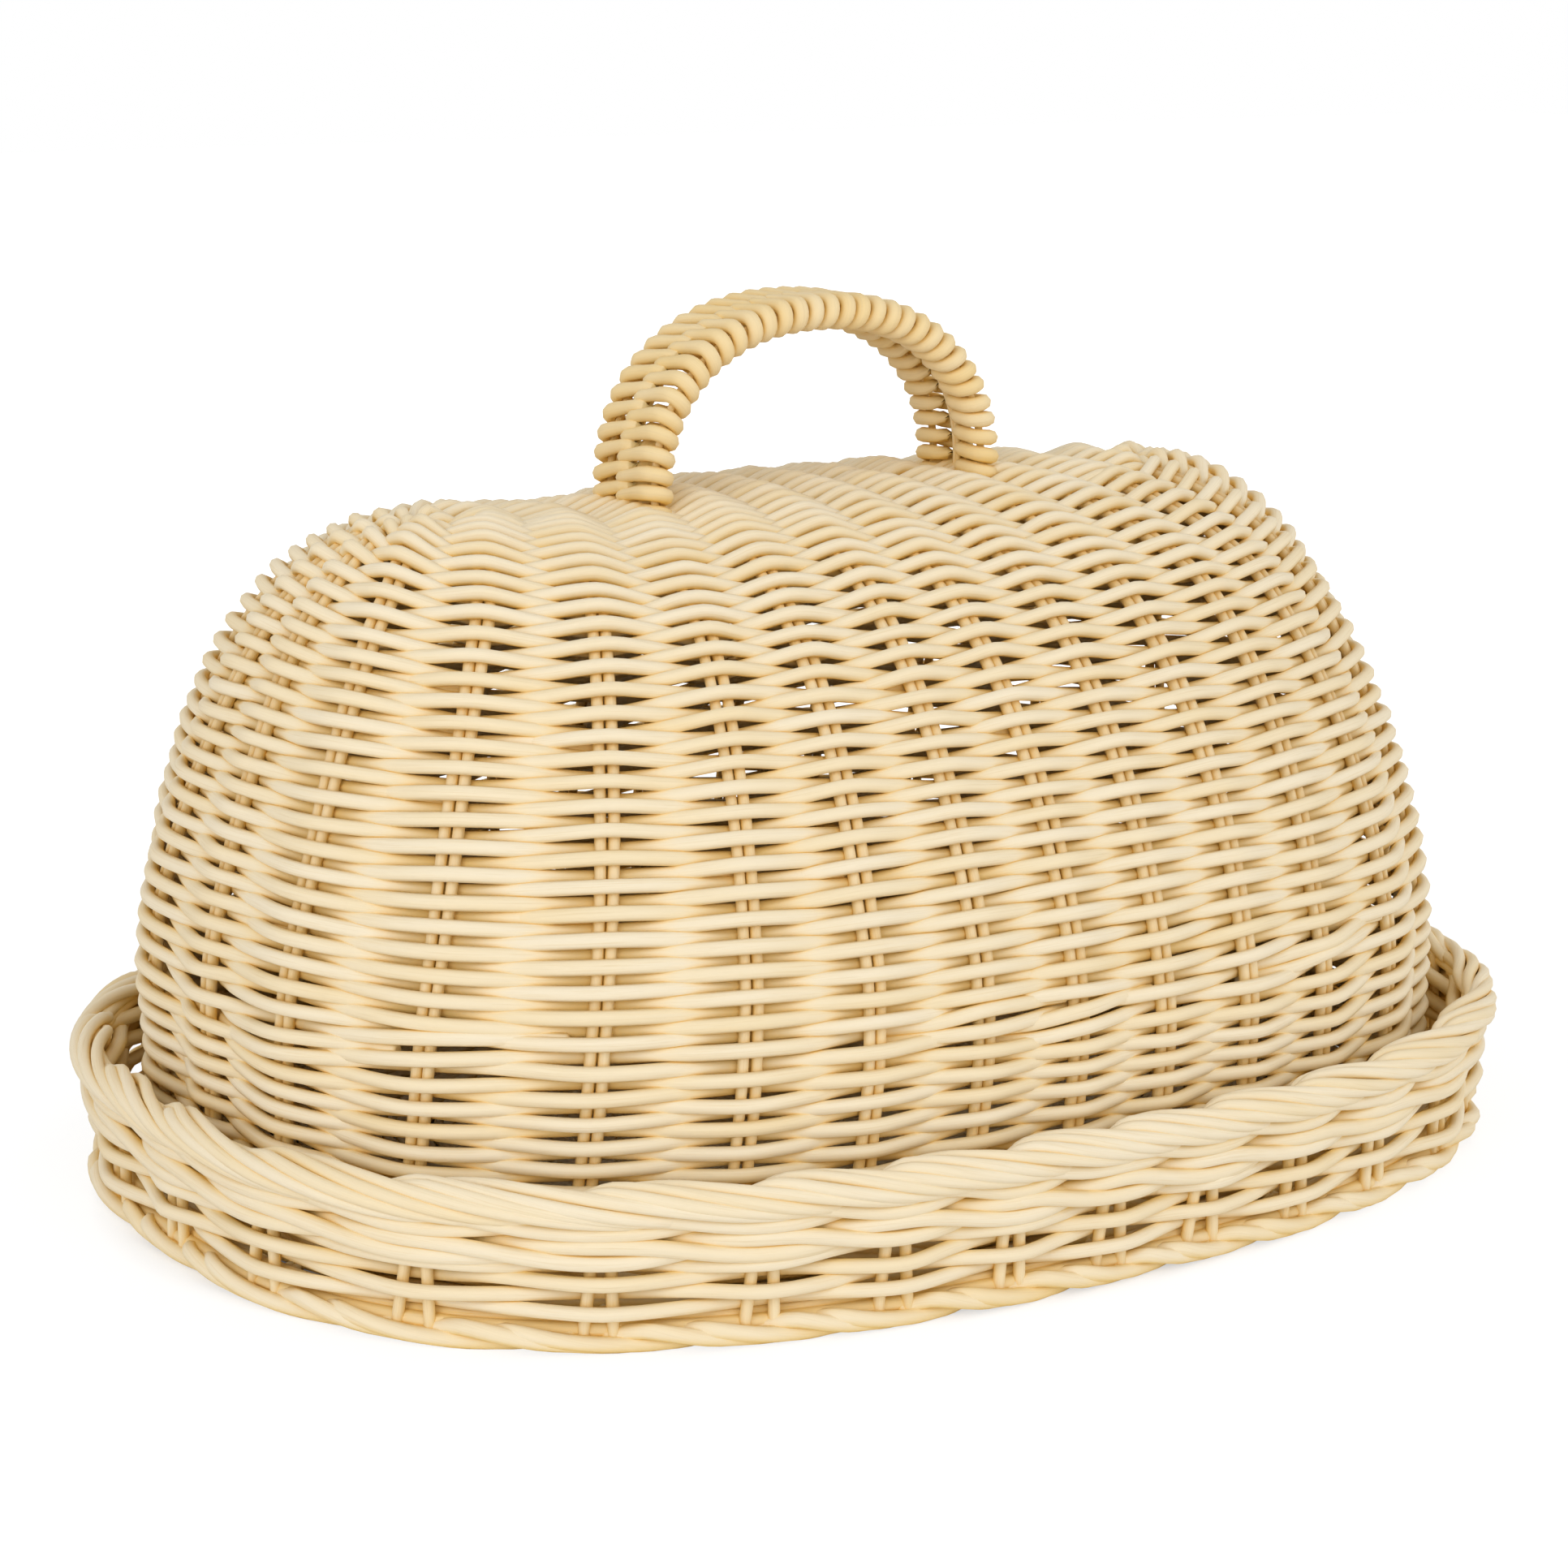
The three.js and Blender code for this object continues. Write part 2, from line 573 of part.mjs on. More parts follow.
// Gives each place of a path the way across it, and squares its way out to the path.
function squared(places) {
  return places.map(({ at, out }, i) => {
    const next = places[Math.min(i + 1, places.length - 1)].at;
    const before = places[Math.max(i - 1, 0)].at;
    const ahead = next.clone().sub(before).normalize();
    const side = ahead.clone().cross(out).normalize();
    return { at, side, out: side.clone().cross(ahead) };
  });
}

function leg(angle, levels, depthAt = () => STAKE_DEPTH) {
  return levels.map((distance) => ({
    at: lidFace(angle, distance, depthAt(distance)),
    out: lidNormal(angle, distance),
  }));
}

// A pair of stakes over the ridge and down both long sides.
function arch(angle) {
  const places = [...leg(angle, LEG_LEVELS), ...leg(TAU - angle, LEG_LEVELS).reverse()];
  return bar(sweepRings(squared(places), () => PAIR_SECTION));
}

// A pair of stakes from end to end. It dips under the arches along the ridge.
function longPair(angle) {
  const dip = STAKE + 2 * GAP;
  const climbed = (distance) => Math.max(0, distance - WALE_END) / (DOME_LENGTH - WALE_END);
  const depthAt = (distance) => STAKE_DEPTH - dip * climbed(distance);
  const side = Math.sign(Math.sin(angle)) * (LONG_PAIR_PITCH / 2);
  const keepApart = ({ at, out }) => {
    if (Math.abs(at.y) < Math.abs(side)) at.setY(side);
    return { at, out };
  };
  const right = leg(angle, LEG_LEVELS, depthAt).map(keepApart);
  const left = leg(Math.PI - angle, LEG_LEVELS, depthAt).map(keepApart);
  return bar(sweepRings(squared([...right, ...left.reverse()]), () => PAIR_SECTION));
}

// A pair of stakes that fans out over an end of the lid and stops short of the crown.
function fanPair(angle) {
  const levels = LEG_LEVELS.filter((level) => level < DOME_LENGTH - FAN_STOP);
  return bar(sweepRings(squared(leg(angle, levels)), () => PAIR_SECTION));
}

// The handle

const HANDLE_FOOT = LID_TOP + GAP;
const EDGE_ROD = HANDLE_WIDTH / 2 - HANDLE_EDGE - GAP - HANDLE_ROD / 2;
const ROD_PLACES = [-EDGE_ROD, -HANDLE_PAIR_PITCH / 2, HANDLE_PAIR_PITCH / 2, EDGE_ROD];

// Places along the band's centre line: a half oval that stands on the crown.
function handlePlaces() {
  const rise = LID_TOP + HANDLE_RISE - HANDLE_FOOT;
  const at = (angle) => {
    const [x, z] = ovalPoint(HANDLE_SPAN / 2, rise, HANDLE_CORNER, angle);
    return new THREE.Vector3(-x, 0, HANDLE_FOOT + Math.max(z, 0));
  };
  const side = new THREE.Vector3(0, 1, 0);
  return evenly(0, Math.PI, HANDLE_ROWS).map((angle) => {
    const ahead = at(Math.min(angle + SMALL, Math.PI)).sub(at(Math.max(angle - SMALL, 0))).normalize();
    return { at: at(angle), side, out: ahead.cross(side) };
  });
}

const HANDLE_PLACES = handlePlaces();

// The band's outline: in one row the wrap goes over the edge rods and under the middle pair, and in the
// next the other way.
function bandSection(row) {
  const half = HANDLE_ROD / 2 + GAP + HANDLE_WALL;
  const across = [...ROD_PLACES, ...[...ROD_PLACES].reverse()];
  const faces = across.map((place, i) => {
    const upper = i < ROD_PLACES.length;
    const edge = Math.abs(place) === EDGE_ROD;
    const sunk = (row + (edge ? 1 : 0) + (upper ? 0 : 1)) % 2;
    return [place, (upper ? 1 : -1) * (half - WRAP_RELIEF * sunk)];
  });
  const edge = HANDLE_WIDTH / 2 - WRAP_RELIEF * (row % 2);
  faces.splice(ROD_PLACES.length, 0, [edge, 0]);
  return [...faces, [-edge, 0]];
}

// The flat passage through the band for the rods, with as many points as its outline.
function passageSection() {
  const half = HANDLE_ROD / 2 + GAP;
  const reach = HANDLE_WIDTH / 2 - HANDLE_EDGE;
  const across = evenly(-reach, reach, ROD_PLACES.length - 1);
  const upper = across.map((place) => [place, half]);
  const lower = [...across].reverse().map((place) => [place, -half]);
  return [...upper, [reach, 0], ...lower, [-reach, 0]];
}

function handleBand() {
  const outer = sweepRings(HANDLE_PLACES, bandSection);
  const inner = sweepRings(HANDLE_PLACES, passageSection);
  return hoop([...outer, ...inner.reverse()]);
}

// A core rod: along the whole band, with both ends down through the crown's weave.
function handleRod(across) {
  const places = HANDLE_PLACES.map(({ at, side, out }) => ({ at: at.clone().setY(across), side, out }));
  const foot = ({ at, side, out }) => ({ at: at.clone().setZ(CROWN + SHELL_INNER), side, out });
  return bar(sweepRings([foot(places[0]), ...places, foot(places.at(-1))], () => roundSection(HANDLE_ROD, 5)));
}

// The weave above the wale, with a slot at each foot of the handle, where its rods go down inside.
function upperWeave() {
  const from = WALE_END + GAP;
  const weave = solidOf(zipped([...innerRings(from, DOME_LENGTH), ...upperRings(from)]));
  const length = HANDLE_ROD + 2 * GAP;
  const width = ROD_PLACES.at(-1) - ROD_PLACES[0] + HANDLE_ROD + 2 * GAP;
  const slots = [-HANDLE_SPAN / 2, HANDLE_SPAN / 2].map((x) =>
    solidOf(new THREE.BoxGeometry(length, width, LID_TOP).translate(x, 0, LID_TOP)),
  );
  return geometryOf(slots.reduce((cut, slot) => cut.subtract(slot), weave));
}

// Assembly

function piece(name, geometry, finish = CANE) {
  geometry.computeVertexNormals();
  const mesh = new THREE.Mesh(geometry, new THREE.MeshStandardMaterial(finish));
  mesh.name = name;
  return mesh;
}

function makeTray() {
  const tray = new THREE.Group();
  tray.add(piece("tray_foot_border", footWithStakes()));
  tray.add(piece("tray_wall_weave", trayBand(FOOT_TOP + GAP, WALE_BOTTOM - GAP, WALL_COURSES, randing)));
  tray.add(piece("tray_wale", trayBand(WALE_BOTTOM, RIM_BOTTOM - GAP, WALE_COURSES, waling)));
  tray.add(piece("tray_rim", twistedRoll(RIM_ROLL, 0, TRAY_HEIGHT - RIM_ROLL / 2, RIM_BUNDLES)));
  tray.add(piece("tray_floor_weave", floorWeave()));
  centred(CROSS_STICK_COUNT, CROSS_STICK_PITCH).forEach((place, i) => {
    const stick = piece(`floor_cross_stick_${i + 1}`, crossStick(place), STAKE_CANE);
    stick.position.set(place, 0, STICK_HEIGHT);
    tray.add(stick);
  });
  LONG_STICK_PLACES.forEach((place, i) => {
    const stick = piece(`floor_long_stick_${i + 1}`, longStick(place), STAKE_CANE);
    stick.position.set(0, place, STICK_HEIGHT);
    tray.add(stick);
  });
  return tray;
}

function makeLidStakes() {
  const stakes = new THREE.Group();
  const half = STAKE_ANGLES.slice(0, COLUMNS / 2); // the stakes of one long side, from +X to -X
  const middle = (half.length - 1) / 2;
  half.slice(middle - ARCHES_EACH_SIDE, middle + ARCHES_EACH_SIDE + 1).forEach((angle, i) => {
    stakes.add(piece(`lid_arch_stakes_${i + 1}`, arch(angle), STAKE_CANE));
  });
  [half[0], TAU - half[0]].forEach((angle, i) => {
    stakes.add(piece(`lid_long_stakes_${i + 1}`, longPair(angle), STAKE_CANE));
  });
  const corner = half.slice(1, middle - ARCHES_EACH_SIDE);
  const around = corner.flatMap((angle) => [angle, Math.PI - angle, Math.PI + angle, TAU - angle]);
  around.forEach((angle, i) => {
    stakes.add(piece(`lid_end_stakes_${i + 1}`, fanPair(angle), STAKE_CANE));
  });
  return stakes;
}

function makeHandle() {
  const handle = new THREE.Group();
  handle.add(piece("handle_wrap", handleBand()));
  ROD_PLACES.forEach((place, i) => {
    handle.add(piece(`handle_rod_${i + 1}`, handleRod(place), STAKE_CANE));
  });
  return handle;
}

function makeLid() {
  const lid = new THREE.Group();
  const lower = lidWeave(BORDER_LINE + GAP, LID_WALE_START - GAP, LOWER_COURSES, randing);
  lid.add(piece("lid_border", lidBorder()));
  const wale = lidWeave(LID_WALE_START, WALE_END, WALE_COURSES, waling);
  lid.add(piece("lid_lower_weave", hoop(lower, 0, true)));
  lid.add(piece("lid_wale", hoop(wale, 0, true)));
  lid.add(piece("lid_upper_weave", upperWeave()));
  lid.add(makeLidStakes());
  lid.add(makeHandle());
  return lid;
}

const basket = new THREE.Group();
basket.add(makeTray());
basket.add(makeLid());

export default basket;
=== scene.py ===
# A lidded rattan bread basket. Every cane of the weave is a swept strand, laid out from the sizes of the
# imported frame.

import math

import bpy
import numpy as np
from mathutils import Matrix, Vector

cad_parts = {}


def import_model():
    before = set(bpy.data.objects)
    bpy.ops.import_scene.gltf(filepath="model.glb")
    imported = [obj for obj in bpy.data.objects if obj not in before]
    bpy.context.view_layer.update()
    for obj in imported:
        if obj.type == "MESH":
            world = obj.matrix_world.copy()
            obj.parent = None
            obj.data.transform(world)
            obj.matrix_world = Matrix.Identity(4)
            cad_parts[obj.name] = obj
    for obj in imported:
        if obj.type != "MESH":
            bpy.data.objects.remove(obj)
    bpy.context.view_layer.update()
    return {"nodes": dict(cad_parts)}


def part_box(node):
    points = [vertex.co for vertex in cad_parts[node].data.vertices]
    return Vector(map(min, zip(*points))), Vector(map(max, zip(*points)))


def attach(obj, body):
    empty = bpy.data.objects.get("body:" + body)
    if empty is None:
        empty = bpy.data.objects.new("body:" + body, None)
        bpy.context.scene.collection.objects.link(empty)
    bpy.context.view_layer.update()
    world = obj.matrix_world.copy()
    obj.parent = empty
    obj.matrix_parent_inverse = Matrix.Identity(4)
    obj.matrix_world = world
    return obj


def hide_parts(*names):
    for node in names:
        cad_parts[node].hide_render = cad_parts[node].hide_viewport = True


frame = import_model()

# Lengths in this script are millimetres, and meshes are made in metres.
MM = 0.001
TAU = 2 * math.pi

# Diameters of the canes
WEAVER = 4.25  # on the lid
RIDGE_STRAND = WEAVER * 0.8
STAKE = 3.3
TRAY_WEAVER = 4.5
TRAY_WALE = 4.8
RIM_STRAND = 3.8
FOOT_STRAND = 4.6
BORDER_STRAND = 3.2  # at the lid's lower edge
FLOOR_STRAND = 3.3
FLOOR_STAKE = 2.4
HANDLE_STRAND = 4.1
HANDLE_ROD = 2.4

# How the canes lie
STAKE_SPACING = 3.6  # between the two rods of a pair
FLOOR_STAKE_SPACING = 2.6
CLOSENESS = 0.95  # how far the weavers stand off the stakes, as a share of lying on them
STIFFNESS = 0.95  # near 1 the cane runs straight between the stakes, near 0 it waves evenly
ROOMY = 15.0  # distance between stakes from which the weavers bend fully
TUCK = 0.9  # columns over which a weaver's ends go in behind the stakes
SIDES = 8  # sides of a strand's section
END_CHAMFER = 0.35  # share of the radius by which a cut end is rounded

# A strand's tone is 0 to 1 from pale to deep, and these are added to it; the first two are painted shade.
BEHIND_PAINTED_SHADE = 1.5  # painted shade where a weaver of the lid runs behind the stakes
CORE_PAINTED_SHADE = 1.2  # painted shade inside the rim and the foot, where the core strands lie in the creases
HANDLE_TONE = 1.7

CAD_WEAVE_OUT = 5.3  # how far the faces of the CAD weave stand out of the stake line

# The stakes' places, as steps along the lid's widest oval from the middle of a long side to the tip
STAKE_STEPS = [31, 33, 34, 39, 46, 47, 47, 17]
CORNER = 2.54  # roundness of the basket's ovals
COLUMNS = 30
PER_COLUMN = 12  # samples of a strand between two stakes
RING = COLUMNS * PER_COLUMN
FACING = (COLUMNS - 1) * PER_COLUMN  # a column and the one that faces it across the ridge add up to this

# How far the stakes lean from their even places, in steps between stakes, at some columns round the
# basket and some distances up the side
LEAN_COLUMNS = [8, 13, 15, 17, 20, 22, 25, 27, 29]
LEAN_DISTANCES = [15, 80, 188, 265]
LEANS = [
    [0, -0.85, -0.6, -0.5, -0.38, -0.2, 0, 0.15, 0],
    [0, -0.85, -0.45, -0.27, -0.14, -0.03, 0.03, 0.2, 0],
    [0, 0, 0.1, 0.07, -0.07, 0.02, 0.45, 0.25, 0],
    [0, 0, 0, 0, 0, 0, 0, 0, 0],
]

# The lid's dome
SHOULDER = 63.0  # height at which the upright sides start to turn in
RIDGE = 129.5  # half length of the crown's ridge
DOME_RISE = 1.38
DOME_ROUND = 0.8
DOME_TOP = 0.9985  # share of the dome at which its top is taken
LEFT_FULLNESS = 2.6  # how far the dome's ends stand out past an even oval
RIGHT_FULLNESS = 0.8
FULL_FROM = 40.0  # height from which they do
FULL_GROWS = 50.0  # rise over which that grows
FULL_FADES = 25.0  # distance under the crown over which it fades
DIP = 3.6  # how far the ridge sinks between its left end and the handle
DIP_AT = -76.0
DIP_REACH = 29.0
DIP_FROM = 160.0  # height from which it sinks
DIP_GROWS = 40.0

# The lid's rows, with distances up the side counted from the lid's lower edge
BORDER = 8.0  # height of the plaited border
BORDER_ROLL = 4.2  # radius of the border
BORDER_SPAN = 2.1  # columns that each of its strands covers
BORDER_TURN = 150  # degrees by which it winds round the roll in a column
STEP_START = 58.4  # the band of two rounds whose strands step past each other at joins
STEP_END = 66.0
STEP_JOINS = [[4, 10, 16, 22, 28], [1, 7, 13, 17, 21, 25]]  # columns of the joins in each round
JOIN_ROOM = 1.5  # how far the rows above and below the band part at a join
JOIN_WIDTH = 1.1  # half width of that, in columns
JOIN_TURN = 3.0  # distance from the band's middle at which the rows part most
JOIN_FADES = 9.0  # distance over which that dies out
STEP_CLIMB = 2.2  # columns over which a strand of the band steps up
NEW_UP = 1.4  # columns past its join at which a new strand has come up
OLD_UP = 1.5  # columns before the next join from which it climbs
OLD_END = 0.86  # columns past that join at which it ends
LOWER_ROUNDS = 16  # rows under the step band
UPPER_ROUNDS = 46  # rows from the step band to the ends of the ridge
SIDE_ROUNDS = 23  # those of them that make the piece of the sides
SIDE_REACH = 10.5  # how much further those rows reach up the middle of the sides than up the ends
PACKED_ROWS = 14  # rows between the last full round and the ridge
CROSSING_LEFT = 8  # packed rows that cross the ridge at its left end, and at its right end
CROSSING_RIGHT = 3
RIDGE_COLUMNS = (2.6, 11.6)  # where the strand along the top of the ridge starts and ends

# The lid's stakes
FIRST_ARCH = 3  # columns whose stakes arch over the ridge
LAST_ARCH = 11
STAKE_FOOT = 2.0  # distance of the stakes' ends from the lid's lower edge
STAKE_SHORT = 14.0  # distance from the ridge at which the stakes of the ends stop

# Tray
LOOSE = 2.5  # how far single strands spread past the solid tray
WALL_LOOSE = 1.5  # how much further the wall does
FOOT_LOOSE = 2.0  # how far the foot's strands stand out past the solid foot
FOOT_TOP = 10.4  # height of the plaited foot
TRAY_LEAN = 0.5  # share of the lean at the lid's foot that the tray's stakes share
TRAY_ROUNDS = 4  # rows between the foot and the wale
TRAY_WALE_ROUNDS = (3.6, 11.2)  # heights of the wale's rounds over its lower edge
TRAY_WALE_DROP = 0.46  # how far a strand of the wale falls and climbs, as a share of its diameter
RIM_FLATNESS = 0.76  # height of the rim as a share of its width

# The tray's floor
FLOOR_SET_IN = 11.7
FLOOR_SPINE = 49.0  # half length of the line on which the rounds close
FLOOR_WAVE = 1.1  # how far the weavers rise and fall

# Handle
HANDLE_SPAN = 117.0
HANDLE_CORNER = 2.2  # roundness of the arch
HANDLE_EDGE_ROD = 12.6  # place of the rods at the band's edges
HANDLE_MIDDLE_ROD = 0.8
HANDLE_PITCH = 5.6  # the wrap's advance along the band in one pass across it and one back
HANDLE_TILT = 5.0  # how far the wrap's rows at the left foot climb towards the front edge
HANDLE_BELOW = 12.0  # how far the rods and the wrap go on into the crown
HANDLE_EDGE_FULLER = 0.16  # how much thicker the wrap's strand is at the band's edges, as a share
DIVE_AT = 0.52  # share of a pass across the band at which the strand goes behind, and for how long
DIVE = 0.2
LINGER = 0.16  # how much of its advance the strand makes round the edge rods

rng = np.random.default_rng(20)


def box(node):
    low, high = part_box(node)
    return np.array(low) / MM, np.array(high) / MM


# Sizes read from the frame
border_low, border_high = box("lid_border")
LID_BOTTOM = border_low[2]
LID_HALF_LENGTH = border_high[0] - CAD_WEAVE_OUT
LID_HALF_WIDTH = border_high[1] - CAD_WEAVE_OUT
CROWN = box("lid_upper_weave")[1][2] - CAD_WEAVE_OUT
HANDLE_TOP = box("handle_wrap")[1][2]
rim_low, rim_high = box("tray_rim")
RIM_BOTTOM, RIM_TOP = rim_low[2], rim_high[2]
TRAY_HALF_LENGTH = rim_high[0] + LOOSE
TRAY_HALF_WIDTH = rim_high[1] + LOOSE
WALL_LINE = rim_high[0] - box("tray_wall_weave")[1][0] + CAD_WEAVE_OUT - WALL_LOOSE
WALE_BOTTOM = box("tray_wale")[0][2]
FOOT_RADIUS = FOOT_TOP / 2
FOOT_LINE = TRAY_HALF_LENGTH - box("tray_foot_border")[1][0] + FOOT_RADIUS - FOOT_LOOSE
floor_low, floor_high = box("tray_floor_weave")
FLOOR_MIDDLE = (floor_low[2] + floor_high[2]) / 2


# Curves and directions

def unit(vectors):
    return vectors / np.maximum(np.linalg.norm(vectors, axis=-1, keepdims=True), 1e-9)


def smooth(part):
    return part * part * (3 - 2 * part)


def ramp(value, start, reach):
    """From 0 up to start to 1 from start + reach on, smoothly."""
    return smooth(np.clip((value - start) / reach, 0, 1))


def wave(count, reach, swing):
    """A smooth random curve over count samples whose swings are about reach samples long."""
    at = np.arange(count)
    curve = np.zeros(count)
    for share in (1.0, 0.61, 0.37):
        turn = rng.uniform(0, TAU)
        curve += share * np.sin(TAU * at / (reach * (0.5 + share)) + turn)
    return swing * curve / 1.4


def jitter(k, swing):
    """A small random shift at each half spacing, smoothed between."""
    knots = rng.normal(0, swing, 2 * COLUMNS + 8)
    at = (np.asarray(k) - np.min(k)) / (PER_COLUMN / 2) % (len(knots) - 1)
    low = np.floor(at).astype(int)
    part = smooth(at - low)
    return knots[low] * (1 - part) + knots[low + 1] * part


def tones(count):
    """A strand's tone, which changes a little along it."""
    return np.clip(rng.random() + wave(count, 150, 0.12), 0, 1)


def tucked(count, reach):
    """From 0 at a strand's ends to 1 within reach samples of them."""
    at = np.arange(count)
    return ramp(np.minimum(at, count - 1 - at), 0, reach)


def over_and_behind(turn):
    """1 over the stakes at even turns and -1 behind them at odd ones, nearly straight between."""
    return np.arcsin(STIFFNESS * np.cos(math.pi * turn)) / math.asin(STIFFNESS)


# Strands

class Weave:
    """Collects strands and turns them into one mesh."""

    def __init__(self, name):
        self.name = name
        self.points, self.grain, self.tone_and_painted_shade = [], [], []
        self.quads, self.caps = [], []
        self.count = 0

    def strand(self, path, out, radius, tone_and_painted_shade=None):
        """A round cane along path, whose pale side faces out; painted shade deepens its tone towards the
        side that faces in.
        """
        path = np.asarray(path, float)
        out = np.broadcast_to(np.asarray(out, float), path.shape)
        radius = np.broadcast_to(np.asarray(radius, float), len(path)).copy()
        ahead = unit(np.gradient(path, axis=0))
        for end, way in ((0, -1), (-1, 1)):
            tip = path[end] + way * ahead[end] * radius[end] * END_CHAMFER
            place = 0 if end == 0 else len(path)
            path = np.insert(path, place, tip, axis=0)
            out = np.insert(out, place, out[end], axis=0)
            ahead = np.insert(ahead, place, ahead[end], axis=0)
            radius = np.insert(radius, place, radius[end] * (1 - END_CHAMFER))
        side = unit(np.cross(ahead, out))
        lift = np.cross(side, ahead)
        turn = np.arange(SIDES) * TAU / SIDES
        across, up = np.cos(turn), np.sin(turn)
        ring = side[:, None] * across[None, :, None] + lift[:, None] * up[None, :, None]
        points = path[:, None] + ring * radius[:, None, None]
        along = np.concatenate([[0], np.cumsum(np.linalg.norm(np.diff(path, axis=0), axis=1))])
        if tone_and_painted_shade is None:
            tone_and_painted_shade = rng.random()
        start = rng.uniform(0, 1000)
        grain = np.empty((len(path), SIDES, 3))
        grain[..., 0] = across * WEAVER / 2 + start
        grain[..., 1] = up * WEAVER / 2
        grain[..., 2] = along[:, None] + start
        shades = np.broadcast_to(np.asarray(tone_and_painted_shade, float), len(path) - 2)
        shades = np.concatenate([shades[:1], shades, shades[-1:]])
        # Painted shade: the tone deepens by up to 1 towards the side of the section that faces in.
        shades = (shades[:, None] + (1 - up) / 2).ravel()
        first = self.count + np.arange(len(path) - 1)[:, None] * SIDES
        here = np.arange(SIDES)[None, :]
        beside = (here + 1) % SIDES
        corners = [first + here, first + beside, first + SIDES + beside, first + SIDES + here]
        last = self.count + (len(path) - 1) * SIDES
        self.quads.append(np.stack(corners, axis=-1).reshape(-1, 4))
        self.caps.append(self.count + np.arange(SIDES)[::-1])
        self.caps.append(last + np.arange(SIDES))
        self.points.append(points.reshape(-1, 3))
        self.grain.append(grain.reshape(-1, 3))
        self.tone_and_painted_shade.append(shades)
        self.count += len(path) * SIDES

    def build(self, material, body, nodes):
        points = np.concatenate(self.points) * MM
        quads = np.concatenate(self.quads)
        caps = np.array(self.caps)
        mesh = bpy.data.meshes.new(self.name)
        mesh.vertices.add(len(points))
        mesh.vertices.foreach_set("co", points.ravel())
        corners = np.concatenate([quads.ravel(), caps.ravel()])
        mesh.loops.add(len(corners))
        mesh.loops.foreach_set("vertex_index", corners.astype(np.int32))
        mesh.polygons.add(len(quads) + len(caps))
        starts = np.concatenate([np.arange(len(quads)) * 4, len(quads) * 4 + np.arange(len(caps)) * SIDES])
        mesh.polygons.foreach_set("loop_start", starts.astype(np.int32))
        round_faces = np.arange(len(starts)) < len(quads)
        mesh.polygons.foreach_set("use_smooth", round_faces)
        grain = mesh.attributes.new("grain", "FLOAT_VECTOR", "POINT")
        grain.data.foreach_set("vector", np.concatenate(self.grain).ravel())
        # The tone attribute holds each strand's own tone together with painted shade.
        tone_and_painted_shade = mesh.attributes.new("tone_and_painted_shade", "FLOAT", "POINT")
        tone_and_painted_shade.data.foreach_set("value", np.concatenate(self.tone_and_painted_shade))
        mesh.update(calc_edges=True)
        mesh.validate()
        mesh.materials.append(material)
        piece = bpy.data.objects.new(self.name, mesh)
        bpy.context.scene.collection.objects.link(piece)
        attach(piece, body)
        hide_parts(*nodes)


# The oval and its stakes

def oval(half_length, half_width, angle):
    c, s = np.cos(angle), np.sin(angle)
    x = half_length * np.sign(c) * np.abs(c) ** (2 / CORNER)
    y = half_width * np.sign(s) * np.abs(s) ** (2 / CORNER)
    return x, y


def column_angles():
    """The oval's angle at each sample round the basket. Stake 0 is just past the tip at +X."""
    quarter = np.linspace(math.pi / 2, 0, 4000)
    x, y = oval(LID_HALF_LENGTH, LID_HALF_WIDTH, quarter)
    length = np.concatenate([[0], np.cumsum(np.hypot(np.diff(x), np.diff(y)))])
    steps = np.cumsum(STAKE_STEPS) / np.sum(STAKE_STEPS)
    reach = np.concatenate([[0], steps[:-1]])
    side = np.concatenate([-reach[::-1], reach[1:]])
    # Places count quarters from the tip at +X, so the long sides have their middles at 1 and 3.
    stakes = np.concatenate([1 + side, 3 + side, [5 + side[0]]])
    place = np.interp(np.arange(RING) / PER_COLUMN, np.arange(COLUMNS + 1), stakes) % 4
    odd = np.floor(place) % 2 == 1
    share = place % 1
    from_side = np.where(odd, share, 1 - share)
    angle = np.interp(from_side * length[-1], length, quarter)
    turned = np.where(odd, math.pi - angle, angle)
    return np.where(place >= 2, turned + math.pi, turned)


ANGLES = column_angles()


def lean(column, distance):
    """How far a stake stands from its even place, in steps between stakes."""
    levels = [np.interp(column, LEAN_COLUMNS, row, period=COLUMNS) for row in LEANS]
    total = levels[0]
    for low, high, near, far in zip(LEAN_DISTANCES, LEAN_DISTANCES[1:], levels, levels[1:]):
        total = total + (far - near) * np.clip((distance - low) / (high - low), 0, 1)
    return total


# The lid's surface, through the middle of its stakes

